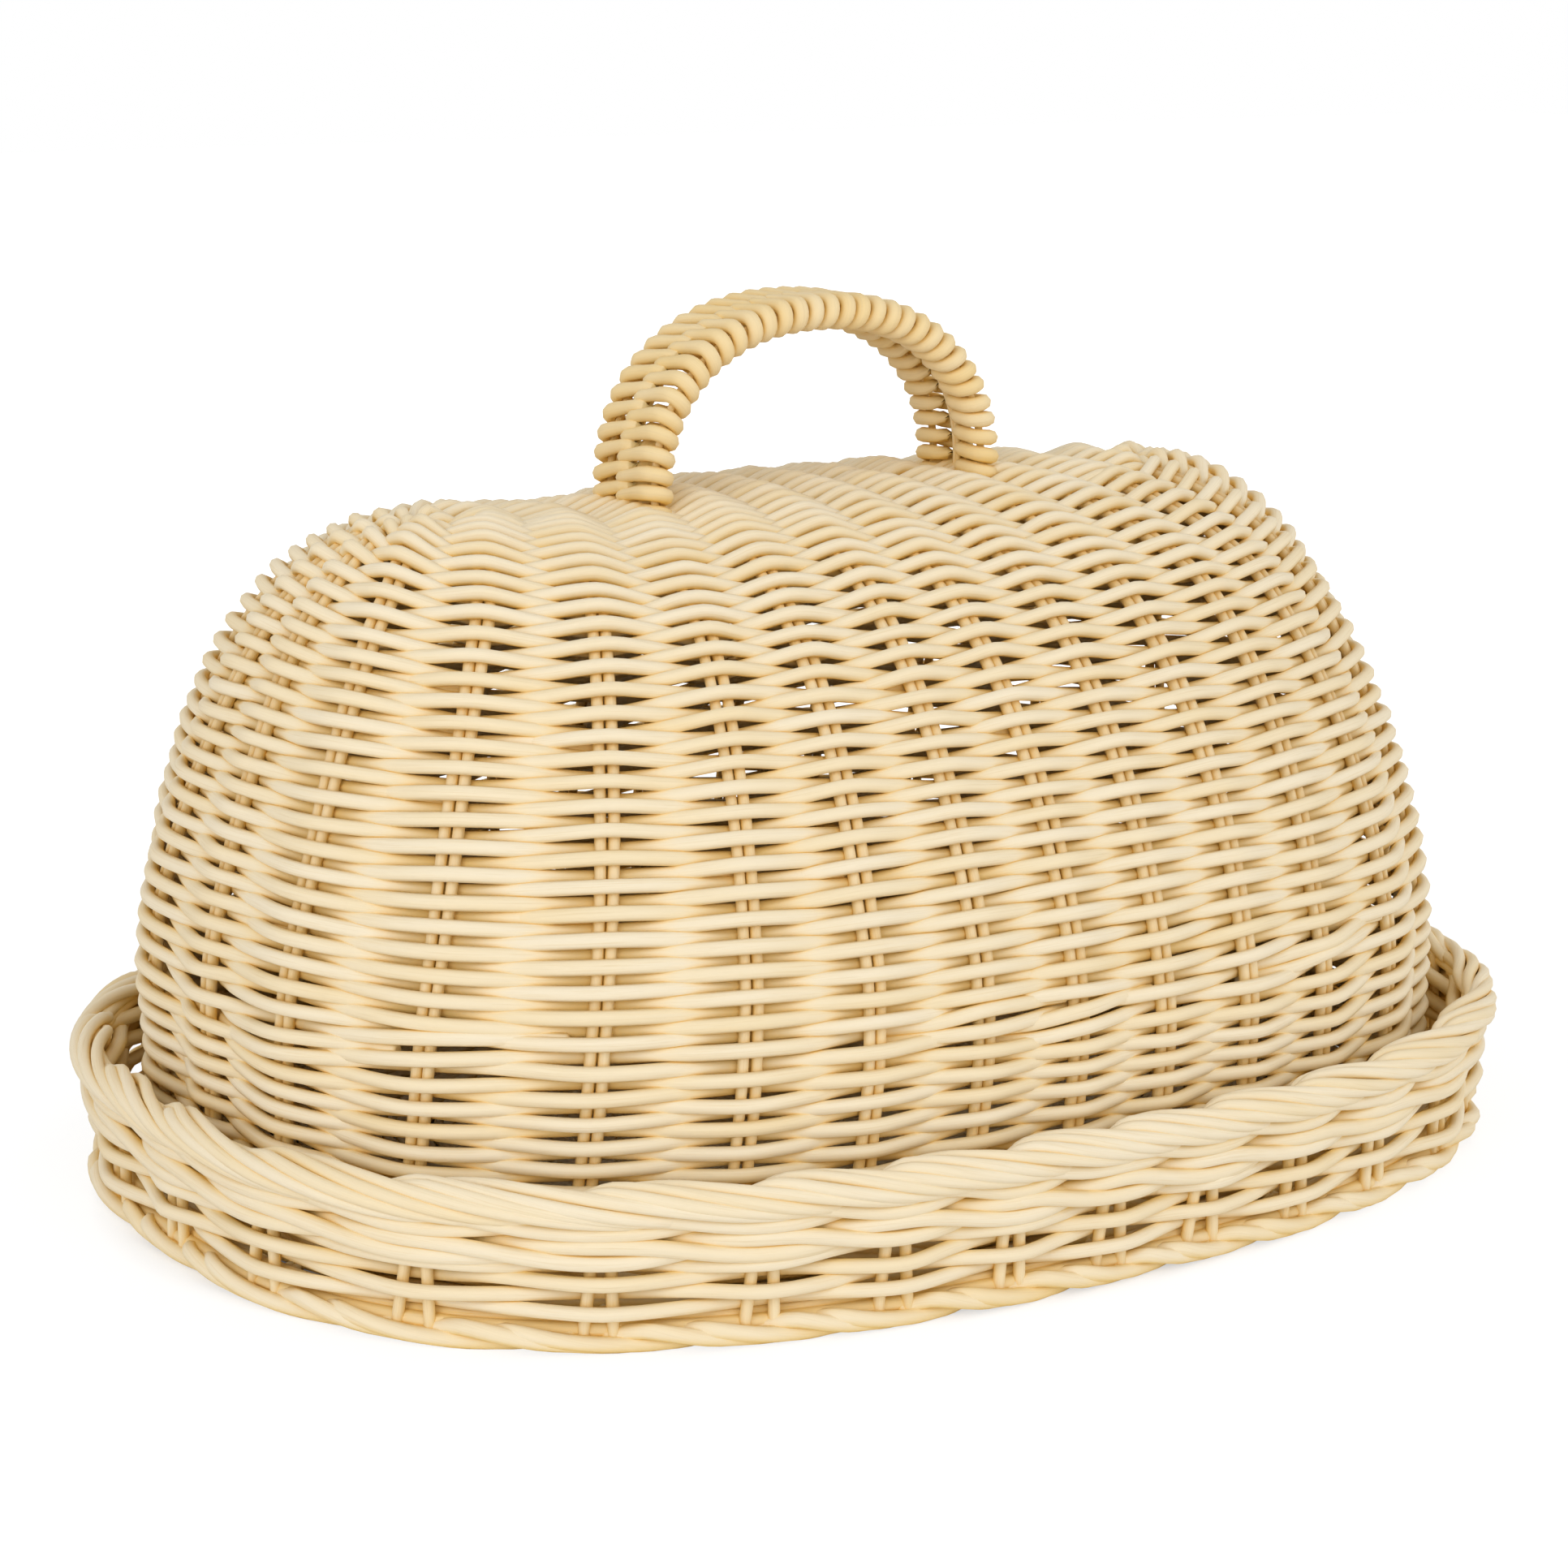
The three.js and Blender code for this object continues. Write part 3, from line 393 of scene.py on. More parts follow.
class LidSurface:
    """Points and directions by sample round the lid and distance up its side, over the ridge and down."""

    STEP = 1.0
    REACH = 600

    def __init__(self):
        points = self.sides()
        round_ = np.roll(points, -1, axis=0) - np.roll(points, 1, axis=0)
        climb = np.gradient(points, axis=1)
        out = unit(np.cross(round_, climb))
        steps = np.linalg.norm(np.diff(points, axis=1), axis=2)
        lengths = np.concatenate([np.zeros((RING, 1)), np.cumsum(steps, axis=1)], axis=1)
        self.length = lengths[:, -1]
        self.grid = np.empty((RING, self.REACH, 3))
        self.out = np.empty((RING, self.REACH, 3))
        far = np.arange(self.REACH) * self.STEP
        for k in range(RING):
            over = far > self.length[k]
            distance = np.where(over, 2 * self.length[k] - far, far)
            flip = np.where(over, -1, 1)
            for axis in range(3):
                way = flip if axis == 1 else 1
                self.grid[k, :, axis] = np.interp(distance, lengths[k], points[k, :, axis]) * way
                self.out[k, :, axis] = np.interp(distance, lengths[k], out[k, :, axis]) * way
        self.out = unit(self.out)

    def sides(self):
        """Points from the lid's lower edge up to the ridge, by sample round the lid."""
        share = np.linspace(0, DOME_TOP, 700) * math.pi / 2
        inward = np.cos(share) ** DOME_ROUND
        upright = np.linspace(LID_BOTTOM, SHOULDER, 40)[:-1]
        dome_length = RIDGE + (LID_HALF_LENGTH - RIDGE) * inward
        dome_height = SHOULDER + (CROWN - SHOULDER) * np.sin(share) ** DOME_RISE
        half_length = np.concatenate([np.full(len(upright), LID_HALF_LENGTH), dome_length])
        half_width = np.concatenate([np.full(len(upright), LID_HALF_WIDTH), LID_HALF_WIDTH * inward])
        height = np.concatenate([upright, dome_height])
        x, y = oval(half_length[None], half_width[None], ANGLES[:, None])
        points = np.stack([x, y, np.broadcast_to(height, x.shape)], axis=-1)
        z = points[..., 2]
        raised = ramp(z, FULL_FROM, FULL_GROWS) * ramp(CROWN - z, 0, FULL_FADES)
        fullness = np.where(x > 0, RIGHT_FULLNESS, -LEFT_FULLNESS)
        points[..., 0] += fullness * raised * smooth(np.abs(x) / LID_HALF_LENGTH)
        sunk = ramp(z, DIP_FROM, DIP_GROWS)
        points[..., 2] -= DIP * sunk * np.exp(-((points[..., 0] - DIP_AT) / DIP_REACH) ** 2)
        return points

    def read(self, values, k, distance):
        k = np.asarray(k, float)
        place = np.clip(np.asarray(distance, float) / self.STEP, 0, self.REACH - 1.001)
        low_k = np.floor(k).astype(int)
        low_d = np.floor(place).astype(int)
        part_k = (k - low_k)[..., None]
        part_d = (place - low_d)[..., None]
        rows = []
        for near in (low_k % RING, (low_k + 1) % RING):
            rows.append(values[near, low_d] * (1 - part_d) + values[near, low_d + 1] * part_d)
        return rows[0] * (1 - part_k) + rows[1] * part_k

    def leaning(self, k, distance):
        """The sample of the even grid at which a sample of the leaning weave lies."""
        k, distance = np.broadcast_arrays(np.asarray(k, float), np.asarray(distance, float))
        full = self.length[np.round(k).astype(int) % RING]
        over = distance > full
        own = np.where(over, FACING - k, k)
        shift = lean(own / PER_COLUMN, np.where(over, 2 * full - distance, distance)) * PER_COLUMN
        return k + np.where(over, -shift, shift)

    def at(self, k, distance):
        return self.read(self.grid, self.leaning(k, distance), distance)

    def normal(self, k, distance):
        return unit(self.read(self.out, self.leaning(k, distance), distance))

    def spacing(self, k, distance):
        """Distance between two neighbouring stakes here."""
        apart = self.at(np.asarray(k) + 1, distance) - self.at(np.asarray(k) - 1, distance)
        return np.linalg.norm(apart, axis=-1) * PER_COLUMN / 2


lid = LidSurface()
K = np.arange(RING)
MIDDLE_SHARE = 1 - (lid.read(lid.grid, K, lid.length)[:, 0] / RIDGE) ** 2
ROUND_REACH = lid.length.min() + SIDE_REACH * np.clip(MIDDLE_SHARE, 0, 1)

# Slow waves of the whole wall, which neighbouring rows share: count, phase, pace from row to row, swing
DRIFT = [(m, rng.uniform(0, TAU), rng.uniform(0.18, 0.4), rng.uniform(0.25, 0.5)) for m in (2, 3, 5, 7, 11)]


def drift(k, row):
    turn = TAU * np.asarray(k) / RING
    return sum(swing * np.sin(m * turn + phase + row * pace) for m, phase, pace, swing in DRIFT)


# The lid's rows

def lower_height(k, row):
    """Distance up the side of a row under the step band."""
    return np.full(len(k), BORDER + (STEP_START - BORDER) * (row + 0.5) / LOWER_ROUNDS)


def upper_height(k, row):
    """Distance up the side of a row above the step band."""
    return STEP_END + (ROUND_REACH[np.asarray(k) % RING] - STEP_END) * (row + 0.5) / UPPER_ROUNDS


def room_for_joins(k, distance):
    """How far the rows near the step band move apart where two of its strands overlap."""
    column = np.asarray(k) / PER_COLUMN
    middle = (STEP_START + STEP_END) / 2
    room = 0
    for joins in STEP_JOINS:
        for join in joins:
            near = (column - join + COLUMNS / 2) % COLUMNS - COLUMNS / 2
            room = room + np.exp(-(near / JOIN_WIDTH) ** 2)
    side = np.tanh((distance - middle) / JOIN_TURN)
    return JOIN_ROOM * room * side * np.exp(-np.abs(distance - middle) / JOIN_FADES)


def lid_weaver(weave, k, distance, row, diameter=WEAVER):
    """One strand of randing over the lid: over one pair of stakes and behind the next."""
    free = np.clip(lid.spacing(k, distance) / ROOMY, 0.12, 1)
    reach = (STAKE + diameter) / 2 * CLOSENESS * free * (1 + jitter(k, 0.06))
    bow = over_and_behind(k / PER_COLUMN + row)
    held = tucked(len(k), PER_COLUMN * TUCK)
    offset = reach * bow * held - (diameter * 0.95) * (1 - held)
    distance = distance + room_for_joins(k, distance) + drift(k, row) + jitter(k, 0.16) * free
    path = lid.at(k, distance) + lid.normal(k, distance) * offset[:, None]
    # Painted shade: the tone deepens where the weaver runs behind the stakes.
    tone_and_painted_shade = tones(len(k)) + BEHIND_PAINTED_SHADE * np.clip(-bow, 0, 1)
    weave.strand(path, lid.normal(k, distance), diameter / 2 * rng.uniform(0.95, 1.03), tone_and_painted_shade)


def lid_rounds(weave, rows, height):
    """Full rounds, each of one strand whose ends overlap by a column."""
    for row in rows:
        column = rng.integers(0, COLUMNS)
        if row % 2 == column % 2:
            column += 1
        k = column * PER_COLUMN + np.arange(RING + PER_COLUMN + 1)
        lid_weaver(weave, k, height(k, row), row)


def lid_lower(weave):
    lid_rounds(weave, range(LOWER_ROUNDS), lower_height)


def lid_side(weave):
    lid_rounds(weave, range(SIDE_ROUNDS), upper_height)


def lid_shoulder(weave):
    lid_rounds(weave, range(SIDE_ROUNDS, UPPER_ROUNDS), upper_height)


def step_band(weave):
    """Two rounds of several strands. At a join the old strand climbs to its cut end outside, and the new
    one comes up from below, both over the same stakes."""
    rise = WEAVER * 0.9
    pitch = (STEP_END - STEP_START) / len(STEP_JOINS)
    for course, joins in enumerate(STEP_JOINS):
        row = LOWER_ROUNDS + course
        for join, following in zip(joins, joins[1:] + [joins[0] + COLUMNS]):
            k = np.arange((join - 1) * PER_COLUMN, (following + OLD_END) * PER_COLUMN)
            column = k / PER_COLUMN
            below = ramp(join + NEW_UP - column, 0, STEP_CLIMB)
            above = ramp(column - following, -OLD_UP, STEP_CLIMB)
            swing = rise * (above - below) * rng.uniform(0.7, 1.1)
            distance = STEP_START + pitch * (course + 0.5) + swing + drift(k, row) + jitter(k, 0.3)
            offset = (STAKE + WEAVER) / 2 * over_and_behind(column + row) * (1 + jitter(k, 0.07))
            # The bound is far behind up to the next join, and past it keeps the end outside.
            bound = np.interp(column, [following, following + 0.8], [-9, 0.3])
            path = lid.at(k, distance) + lid.normal(k, distance) * np.maximum(offset, bound)[:, None]
            weave.strand(path, lid.normal(k, distance), WEAVER / 2 * rng.uniform(0.95, 1.04), tones(len(k)))


# The crown: rows past the ends of the ridge

def packed_height(k, row):
    """Distances up the side of a packed row, set from the last round for the rows that cross the ridge
    and from the ridge for those that run along it."""
    k = np.asarray(k) % RING
    pitch = (lid.length - ROUND_REACH).max() / (PACKED_ROWS + 0.3)
    crossing = ROUND_REACH[k] + pitch * (row + 0.5)
    along = lid.length[k] - pitch * (PACKED_ROWS - row - 0.5)
    return crossing, along


def smoothed(values, passes):
    values = values.copy()
    for _ in range(passes):
        values[1:-1] = (values[:-2] + 2 * values[1:-1] + values[2:]) / 4
    return values


def packed_row(weave, row):
    """A packed row on both long sides. The first ones pass over the ridge's ends and close round it."""
    tips = PER_COLUMN // 2
    side = np.arange(-tips, RING // 2 - tips + 1)
    full = lid.length[side % RING]
    crossing, along = packed_height(side, row)
    left = np.arange(len(side)) > len(side) // 2
    crosses = np.where(left, row < CROSSING_LEFT, row < CROSSING_RIGHT)
    distance = np.where(crosses, crossing, np.maximum(along, 0))
    fits = np.where(crosses, crossing < full, along > ROUND_REACH[side % RING] + 1.2)
    first, last = np.flatnonzero(fits)[[0, -1]]
    span = side[first:last + 1]
    distance = smoothed(distance[first:last + 1], 12)
    for k in (span, FACING - span):
        lid_weaver(weave, k, distance, row + UPPER_ROUNDS)


def lid_crown(weave):
    for row in range(PACKED_ROWS):
        packed_row(weave, row)


def ridge_strand(weave):
    """The last strand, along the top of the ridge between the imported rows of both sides."""
    k = np.arange(RIDGE_COLUMNS[0] * PER_COLUMN, RIDGE_COLUMNS[1] * PER_COLUMN)
    lid_weaver(weave, k, lid.length[np.round(k).astype(int)], 0, diameter=RIDGE_STRAND)


def lid_stakes(weave):
    """Pairs of rods: nine arches over the ridge, and twelve pairs that fan out over its ends."""
    for column in range(COLUMNS // 2):
        if FIRST_ARCH <= column <= LAST_ARCH:
            rods(weave, column, STAKE_FOOT, 2 * lid.length[column * PER_COLUMN] - STAKE_FOOT)
            continue
        for place in (column, COLUMNS - 1 - column):
            rods(weave, place, STAKE_FOOT, lid.length[place * PER_COLUMN] - STAKE_SHORT)


def rods(weave, column, low, high):
    distance = np.arange(low, high, 4.0)
    k = np.full(len(distance), column * PER_COLUMN)
    middle = lid.at(k, distance)
    out = lid.normal(k, distance)
    side = unit(np.cross(np.gradient(middle, axis=0), out))
    for way in (-1, 1):
        apart = way * STAKE_SPACING / 2 + wave(len(distance), 22, 0.25)
        path = middle + side * apart[:, None] + out * wave(len(distance), 30, 0.15)[:, None]
        weave.strand(path, out, STAKE / 2 * rng.uniform(0.95, 1.03), tones(len(distance)))


def lid_border(weave):
    """The plaited lower edge of the lid: three strands to a column, each wound round the roll."""
    radius = BORDER_ROLL - BORDER_STRAND / 2
    middle = LID_BOTTOM + BORDER_ROLL
    at = np.arange(int(BORDER_SPAN * PER_COLUMN))
    turn = math.radians(BORDER_TURN) - math.radians(BORDER_TURN) * at / PER_COLUMN
    reach = radius * (0.4 + 0.6 * tucked(len(at), PER_COLUMN * 0.5))
    for column in range(COLUMNS):
        for place in range(3):
            k = (column + place / 3) * PER_COLUMN + at
            out = lid.normal(k, np.full(len(at), 4.0))
            away = out * np.cos(turn)[:, None] + np.array([0, 0, 1.0]) * np.sin(turn)[:, None]
            path = lid.at(k, np.full(len(at), middle - LID_BOTTOM)) + away * reach[:, None]
            weave.strand(path, away, BORDER_STRAND / 2, tones(len(at)))


# The tray

def tray_at(k, set_in, height):
    k = np.asarray(k, float)
    k = k + lean(k / PER_COLUMN, LEAN_DISTANCES[0]) * PER_COLUMN * TRAY_LEAN
    low = np.floor(k).astype(int)
    part = k - low
    angle = ANGLES[low % RING]
    step = (ANGLES[(low + 1) % RING] - angle + math.pi) % TAU - math.pi
    x, y = oval(TRAY_HALF_LENGTH - set_in, TRAY_HALF_WIDTH - set_in, angle + step * part)
    return np.stack([x, y, np.broadcast_to(height, x.shape)], axis=-1)


def tray_out(k):
    along = tray_at(np.asarray(k) + 0.5, 10, 0) - tray_at(np.asarray(k) - 0.5, 10, 0)
    return unit(np.cross(along, [0, 0, 1]))


def tray_path(k, offset, height):
    return tray_at(k, WALL_LINE, height) + tray_out(k) * np.asarray(offset)[:, None]


def tray_spacing(column):
    k = column * PER_COLUMN
    return np.linalg.norm(tray_at(k + 1, WALL_LINE, 0) - tray_at(k - 1, WALL_LINE, 0)) * PER_COLUMN / 2


def tray_wall(weave):
    """Rounds of randing between the foot and the wale."""
    low, high = FOOT_TOP - 0.4, WALE_BOTTOM + 0.4
    pitch = (high - low) / TRAY_ROUNDS
    for row in range(TRAY_ROUNDS):
        start = (7 * row + row % 2) * PER_COLUMN
        k = start + np.arange(RING + PER_COLUMN + 1)
        offset = (STAKE + TRAY_WEAVER) / 2 * over_and_behind(k / PER_COLUMN + row) * (1 + jitter(k, 0.08))
        held = tucked(len(k), PER_COLUMN)
        offset = offset * held - TRAY_WEAVER * (1 - held)
        height = low + pitch * (row + 0.5) + jitter(k, 0.35)
        radius = TRAY_WEAVER / 2 * rng.uniform(0.93, 1.02)
        weave.strand(tray_path(k, offset, height), tray_out(k), radius, tones(len(k)))


def wale_bow(phase):
    """Three-rod wale: behind one pair at phase 0, in front of the next two."""
    near = np.minimum(phase % 3, 3 - phase % 3)
    return -np.cos(math.pi * np.minimum(near, 1))


def wale_drop(phase):
    """In front the strand falls from the first pair to the second, and behind it climbs back."""
    phase = phase % 3
    front = np.cos(math.pi * (phase - 1))
    behind = -np.cos(math.pi * ((phase - 2) % 3) / 2)
    return np.where((phase >= 1) & (phase <= 2), front, behind)


def tray_wale(weave):
    """Two rounds of three-rod wale under the rim."""
    for course, over_bottom in enumerate(TRAY_WALE_ROUNDS):
        middle = WALE_BOTTOM + over_bottom
        for strand in range(3):
            k = (strand * 10 + course * 4) * PER_COLUMN + np.arange(RING + 2 * PER_COLUMN + 1)
            phase = k / PER_COLUMN - strand
            offset = wale_bow(phase) * (STAKE + TRAY_WALE) / 2 * (1 + jitter(k, 0.05))
            held = tucked(len(k), PER_COLUMN)
            offset = offset * held - TRAY_WALE * (1 - held)
            height = middle + wale_drop(phase) * TRAY_WALE * TRAY_WALE_DROP + jitter(k, 0.3)
            radius = TRAY_WALE / 2 * rng.uniform(0.95, 1.03)
            weave.strand(tray_path(k, offset, height), tray_out(k), radius, tones(len(k)))


def tray_stakes(weave):
    """The tray's stakes: pairs whose left rods lean away from the right ones towards the foot."""
    height = np.linspace(4.0, RIM_BOTTOM + 6, 12)
    towards_foot = np.clip((RIM_BOTTOM - height) / (RIM_BOTTOM - 6), 0, 1)
    for column in range(COLUMNS):
        for way in (-1, 1):
            spread = rng.uniform(2.5, 6.0) if way < 0 else rng.uniform(0.0, 1.5)
            shift = way * (STAKE_SPACING / 2 + towards_foot * spread)
            k = column * PER_COLUMN + shift / tray_spacing(column) * PER_COLUMN
            path = tray_path(k, np.zeros(len(height)), height)
            weave.strand(path, tray_out(k), STAKE / 2 * 1.05, tones(len(height)))


# The strands of a border, by samples along them
HEAD = [0.0, 0.5, 1.0, 1.6, 2.3]  # close samples where a strand bends out of the border
EMERGES = 3.2  # samples over which it comes out
SINKS = 4  # samples over which its end goes in again
KNUCKLE = 0.9  # how far it bulges after its head
KNUCKLE_AT = 5
KNUCKLE_REACH = 4
GATHERS_FROM = 0.35  # share of its way from which it nears the others of its column


def plait(weave, set_in, height, radius, flat, strand, starts, lags, end, rate, gather, sink):
    """A border of single strands, some to a column. Each bends out of the roll at its starting angle and
    its lag past the column, and winds down the outside to the end angle by rate degrees to a column. The
    strands of a column gather on their way and sink under each other."""
    starts = [math.radians(start) for start in starts]
    end, rate = math.radians(end), math.radians(rate)
    middle = sum(lags) / len(lags)
    for column in range(COLUMNS):
        for start, lag in zip(starts, lags):
            span = (start - end) / rate * PER_COLUMN
            at = np.concatenate([HEAD, np.arange(3, span)])
            turn = start - rate * at / PER_COLUMN + wave(len(at), 30, 0.06)
            closing = ramp(at, GATHERS_FROM * span, (1 - GATHERS_FROM) * span)
            column_at = column + rng.uniform(-0.07, 0.07) + lag + (middle - lag) * gather * closing
            k = column_at * PER_COLUMN + (starts[-1] - turn) / rate * PER_COLUMN
            emerged = ramp(at, 0, EMERGES)
            sunk = ramp(at - span, -SINKS, SINKS)
            reach = radius - strand * 0.95 * (1 - emerged) - strand * 0.4 * sunk
            knuckle = KNUCKLE * np.exp(-((at - KNUCKLE_AT) / KNUCKLE_REACH) ** 2)
            reach = reach + knuckle + sink * (middle - lag) * closing + wave(len(at), 25, 0.15)
            away = tray_out(k) * np.cos(turn)[:, None] + np.array([0, 0, flat]) * np.sin(turn)[:, None]
            path = tray_at(k, set_in, height) + away * reach[:, None]
            weave.strand(path, away, strand / 2 * rng.uniform(0.94, 1.04), tones(len(k)))


def border_core(weave, set_in, height, radius, strand):
    """Three strands that fill the inside of a border."""
    k = np.arange(RING + 4)
    for turn in np.arange(3) * TAU / 3:
        away = tray_out(k) * math.cos(turn) + np.array([0, 0, 1.0]) * math.sin(turn)
        # The core strands' tone is deepened by painted shade, as they lie inside the border.
        weave.strand(tray_at(k, set_in, height) + away * radius, away, strand / 2, tones(len(k)) + CORE_PAINTED_SHADE)


def tray_rim(weave):
    """Three strands to a column, which wind over the roll and gather into a bundle."""
    half_width = (RIM_TOP - RIM_BOTTOM) / 2
    radius = half_width - RIM_STRAND / 2
    height = RIM_BOTTOM + radius * RIM_FLATNESS + RIM_STRAND / 2
    plait(weave, half_width, height, radius, flat=RIM_FLATNESS, strand=RIM_STRAND, starts=(165, 98, 135),
          lags=(1 / 6, 1 / 2, 5 / 6), end=-100, rate=112, gather=0.4, sink=1.4)
    border_core(weave, half_width, height, radius - RIM_STRAND, RIM_STRAND)


def tray_foot(weave):
    """Two strands to a column, the lower ends of a pair of stakes."""
    plait(weave, FOOT_LINE, FOOT_RADIUS, FOOT_RADIUS - FOOT_STRAND / 2, flat=1.0, strand=FOOT_STRAND,
          starts=(56, 46), lags=(0.08, 0.34), end=-150, rate=128, gather=0.2, sink=0.8)
    border_core(weave, FOOT_LINE + 3.0, FOOT_RADIUS + 0.6, 1.9, FOOT_STRAND)


def tray_floor(weave):
    """The floor's randing, in rounds that close on a line in the middle, with its stakes and a spine."""
    outer = tray_at(K, FLOOR_SET_IN, 0)
    rounds = int(LID_HALF_WIDTH / (FLOOR_STRAND * 1.02)) + 2
    k = np.arange(0, RING + 13, 2)
    edge = outer[k % RING]
    near = np.clip(edge[:, 0], -FLOOR_SPINE, FLOOR_SPINE)
    for row in range(rounds):
        share = 1 - (row + 0.4) / (rounds + 0.4)
        height = FLOOR_MIDDLE + FLOOR_WAVE * np.cos(math.pi * (k / PER_COLUMN + row))
        path = np.stack([near + (edge[:, 0] - near) * share, edge[:, 1] * share, height], axis=-1)
        weave.strand(path, [0, 0, 1], FLOOR_STRAND / 2, tones(len(k)))
    share = np.linspace(0.98, 0.12, 8)
    for x, y, _ in outer[::PER_COLUMN]:
        near = np.clip(x, -FLOOR_SPINE, FLOOR_SPINE)
        path = np.stack([near + (x - near) * share, y * share, np.full(8, FLOOR_MIDDLE)], axis=-1)
        side = unit(np.cross([x - near, y, 0], [0, 0, 1]))
        for way in (-1, 1):
            weave.strand(path + side * way * FLOOR_STAKE_SPACING / 2, [0, 0, 1], FLOOR_STAKE / 2)
    spine = np.linspace(-FLOOR_SPINE - 3, FLOOR_SPINE + 3, 30)
    path = np.stack([spine, np.zeros(30), FLOOR_MIDDLE + 0.8 * np.sin(spine / 4)], axis=-1)
    weave.strand(path, [0, 0, 1], FLOOR_STRAND / 2, tones(30))


# The handle

ACROSS = np.array([0, 1.0, 0])


def band_frame(place):
    """The band's centre line by place in millimetres from its left foot, with the way out and the length."""
    rise = HANDLE_TOP - CROWN - CAD_WEAVE_OUT - HANDLE_ROD / 2 - HANDLE_STRAND
    angle = np.linspace(0, math.pi, 2000)
    x = -HANDLE_SPAN / 2 * np.sign(np.cos(angle)) * np.abs(np.cos(angle)) ** (2 / HANDLE_CORNER)
    z = CROWN + CAD_WEAVE_OUT + rise * np.sin(angle) ** (2 / HANDLE_CORNER)
    length = np.concatenate([[0], np.cumsum(np.hypot(np.diff(x), np.diff(z)))])
    place = np.asarray(place, float)
    below = np.minimum(place, 0)
    above = np.maximum(place - length[-1], 0)
    px = np.interp(place, length, x)
    pz = np.interp(place, length, z) + below - above
    near = np.clip(place, 0.5, length[-1] - 0.5)
    dx = np.interp(near + 0.5, length, x) - np.interp(near - 0.5, length, x)
    dz = np.interp(near + 0.5, length, z) - np.interp(near - 0.5, length, z)
    zero = np.zeros_like(px)
    out = unit(np.stack([-dz, zero, dx], axis=-1))
    return np.stack([px, zero, pz], axis=-1), out, length[-1]


def handle_rods(weave):
    _, _, length = band_frame(0.0)
    place = np.arange(-HANDLE_BELOW, length + HANDLE_BELOW, 3.0)
    centre, out, _ = band_frame(place)
    for across in (-HANDLE_EDGE_ROD, -HANDLE_MIDDLE_ROD, HANDLE_MIDDLE_ROD, HANDLE_EDGE_ROD):
        radius = min(HANDLE_ROD / 2, abs(across))
        weave.strand(centre + ACROSS * across, out, radius, tones(len(place)))


def handle_wrap(weave):
    """One strand that goes to and fro across the band. Each pass starts round an edge rod, goes over it
    and the middle pair, and ends behind the far edge rod."""
    _, _, length = band_frame(0.0)
    per_pass = 24
    count = 2 * math.ceil((length + 2 * HANDLE_BELOW) / HANDLE_PITCH)
    passes = np.arange(count * per_pass + 1) / per_pass
    share = passes % 1
    done = (1 - np.cos(math.pi * share)) / 2
    reach = (HANDLE_ROD + HANDLE_STRAND) / 2
    across = (HANDLE_EDGE_ROD + reach) * np.cos(math.pi * passes)
    past = np.clip(np.abs(across) - HANDLE_EDGE_ROD, 0, reach) / reach
    between = 1 - 2 * ramp(done, DIVE_AT, DIVE)
    bow = np.where(past > 0, np.where(done < 0.5, 1, -1) * np.sqrt(1 - past ** 2), between)
    climb = (passes + LINGER * np.sin(TAU * share)) / 2
    place = climb * HANDLE_PITCH - HANDLE_BELOW + wave(len(passes), 90, 0.2)
    tilt = HANDLE_TILT * np.clip(1 - place / length, 0, 1)
    place = place - tilt * across / (2 * HANDLE_EDGE_ROD)
    centre, out, _ = band_frame(place)
    path = centre + ACROSS * across[:, None] + out * (reach * bow)[:, None]
    facing = out * (bow + 0.01)[:, None] + ACROSS * (np.sign(across) * past)[:, None]
    at_edge = ramp(np.abs(across) / HANDLE_EDGE_ROD * 2, 0.7, 1)
    radius = HANDLE_STRAND / 2 * (1 + HANDLE_EDGE_FULLER * at_edge)
    weave.strand(path, unit(facing), radius, tones(len(passes)) + HANDLE_TONE)


# Materials

def node_graph(name):
    material = bpy.data.materials.new(name)
    material.use_nodes = True
    nodes = material.node_tree.nodes
    links = material.node_tree.links
    return material, nodes, links, nodes["Principled BSDF"]


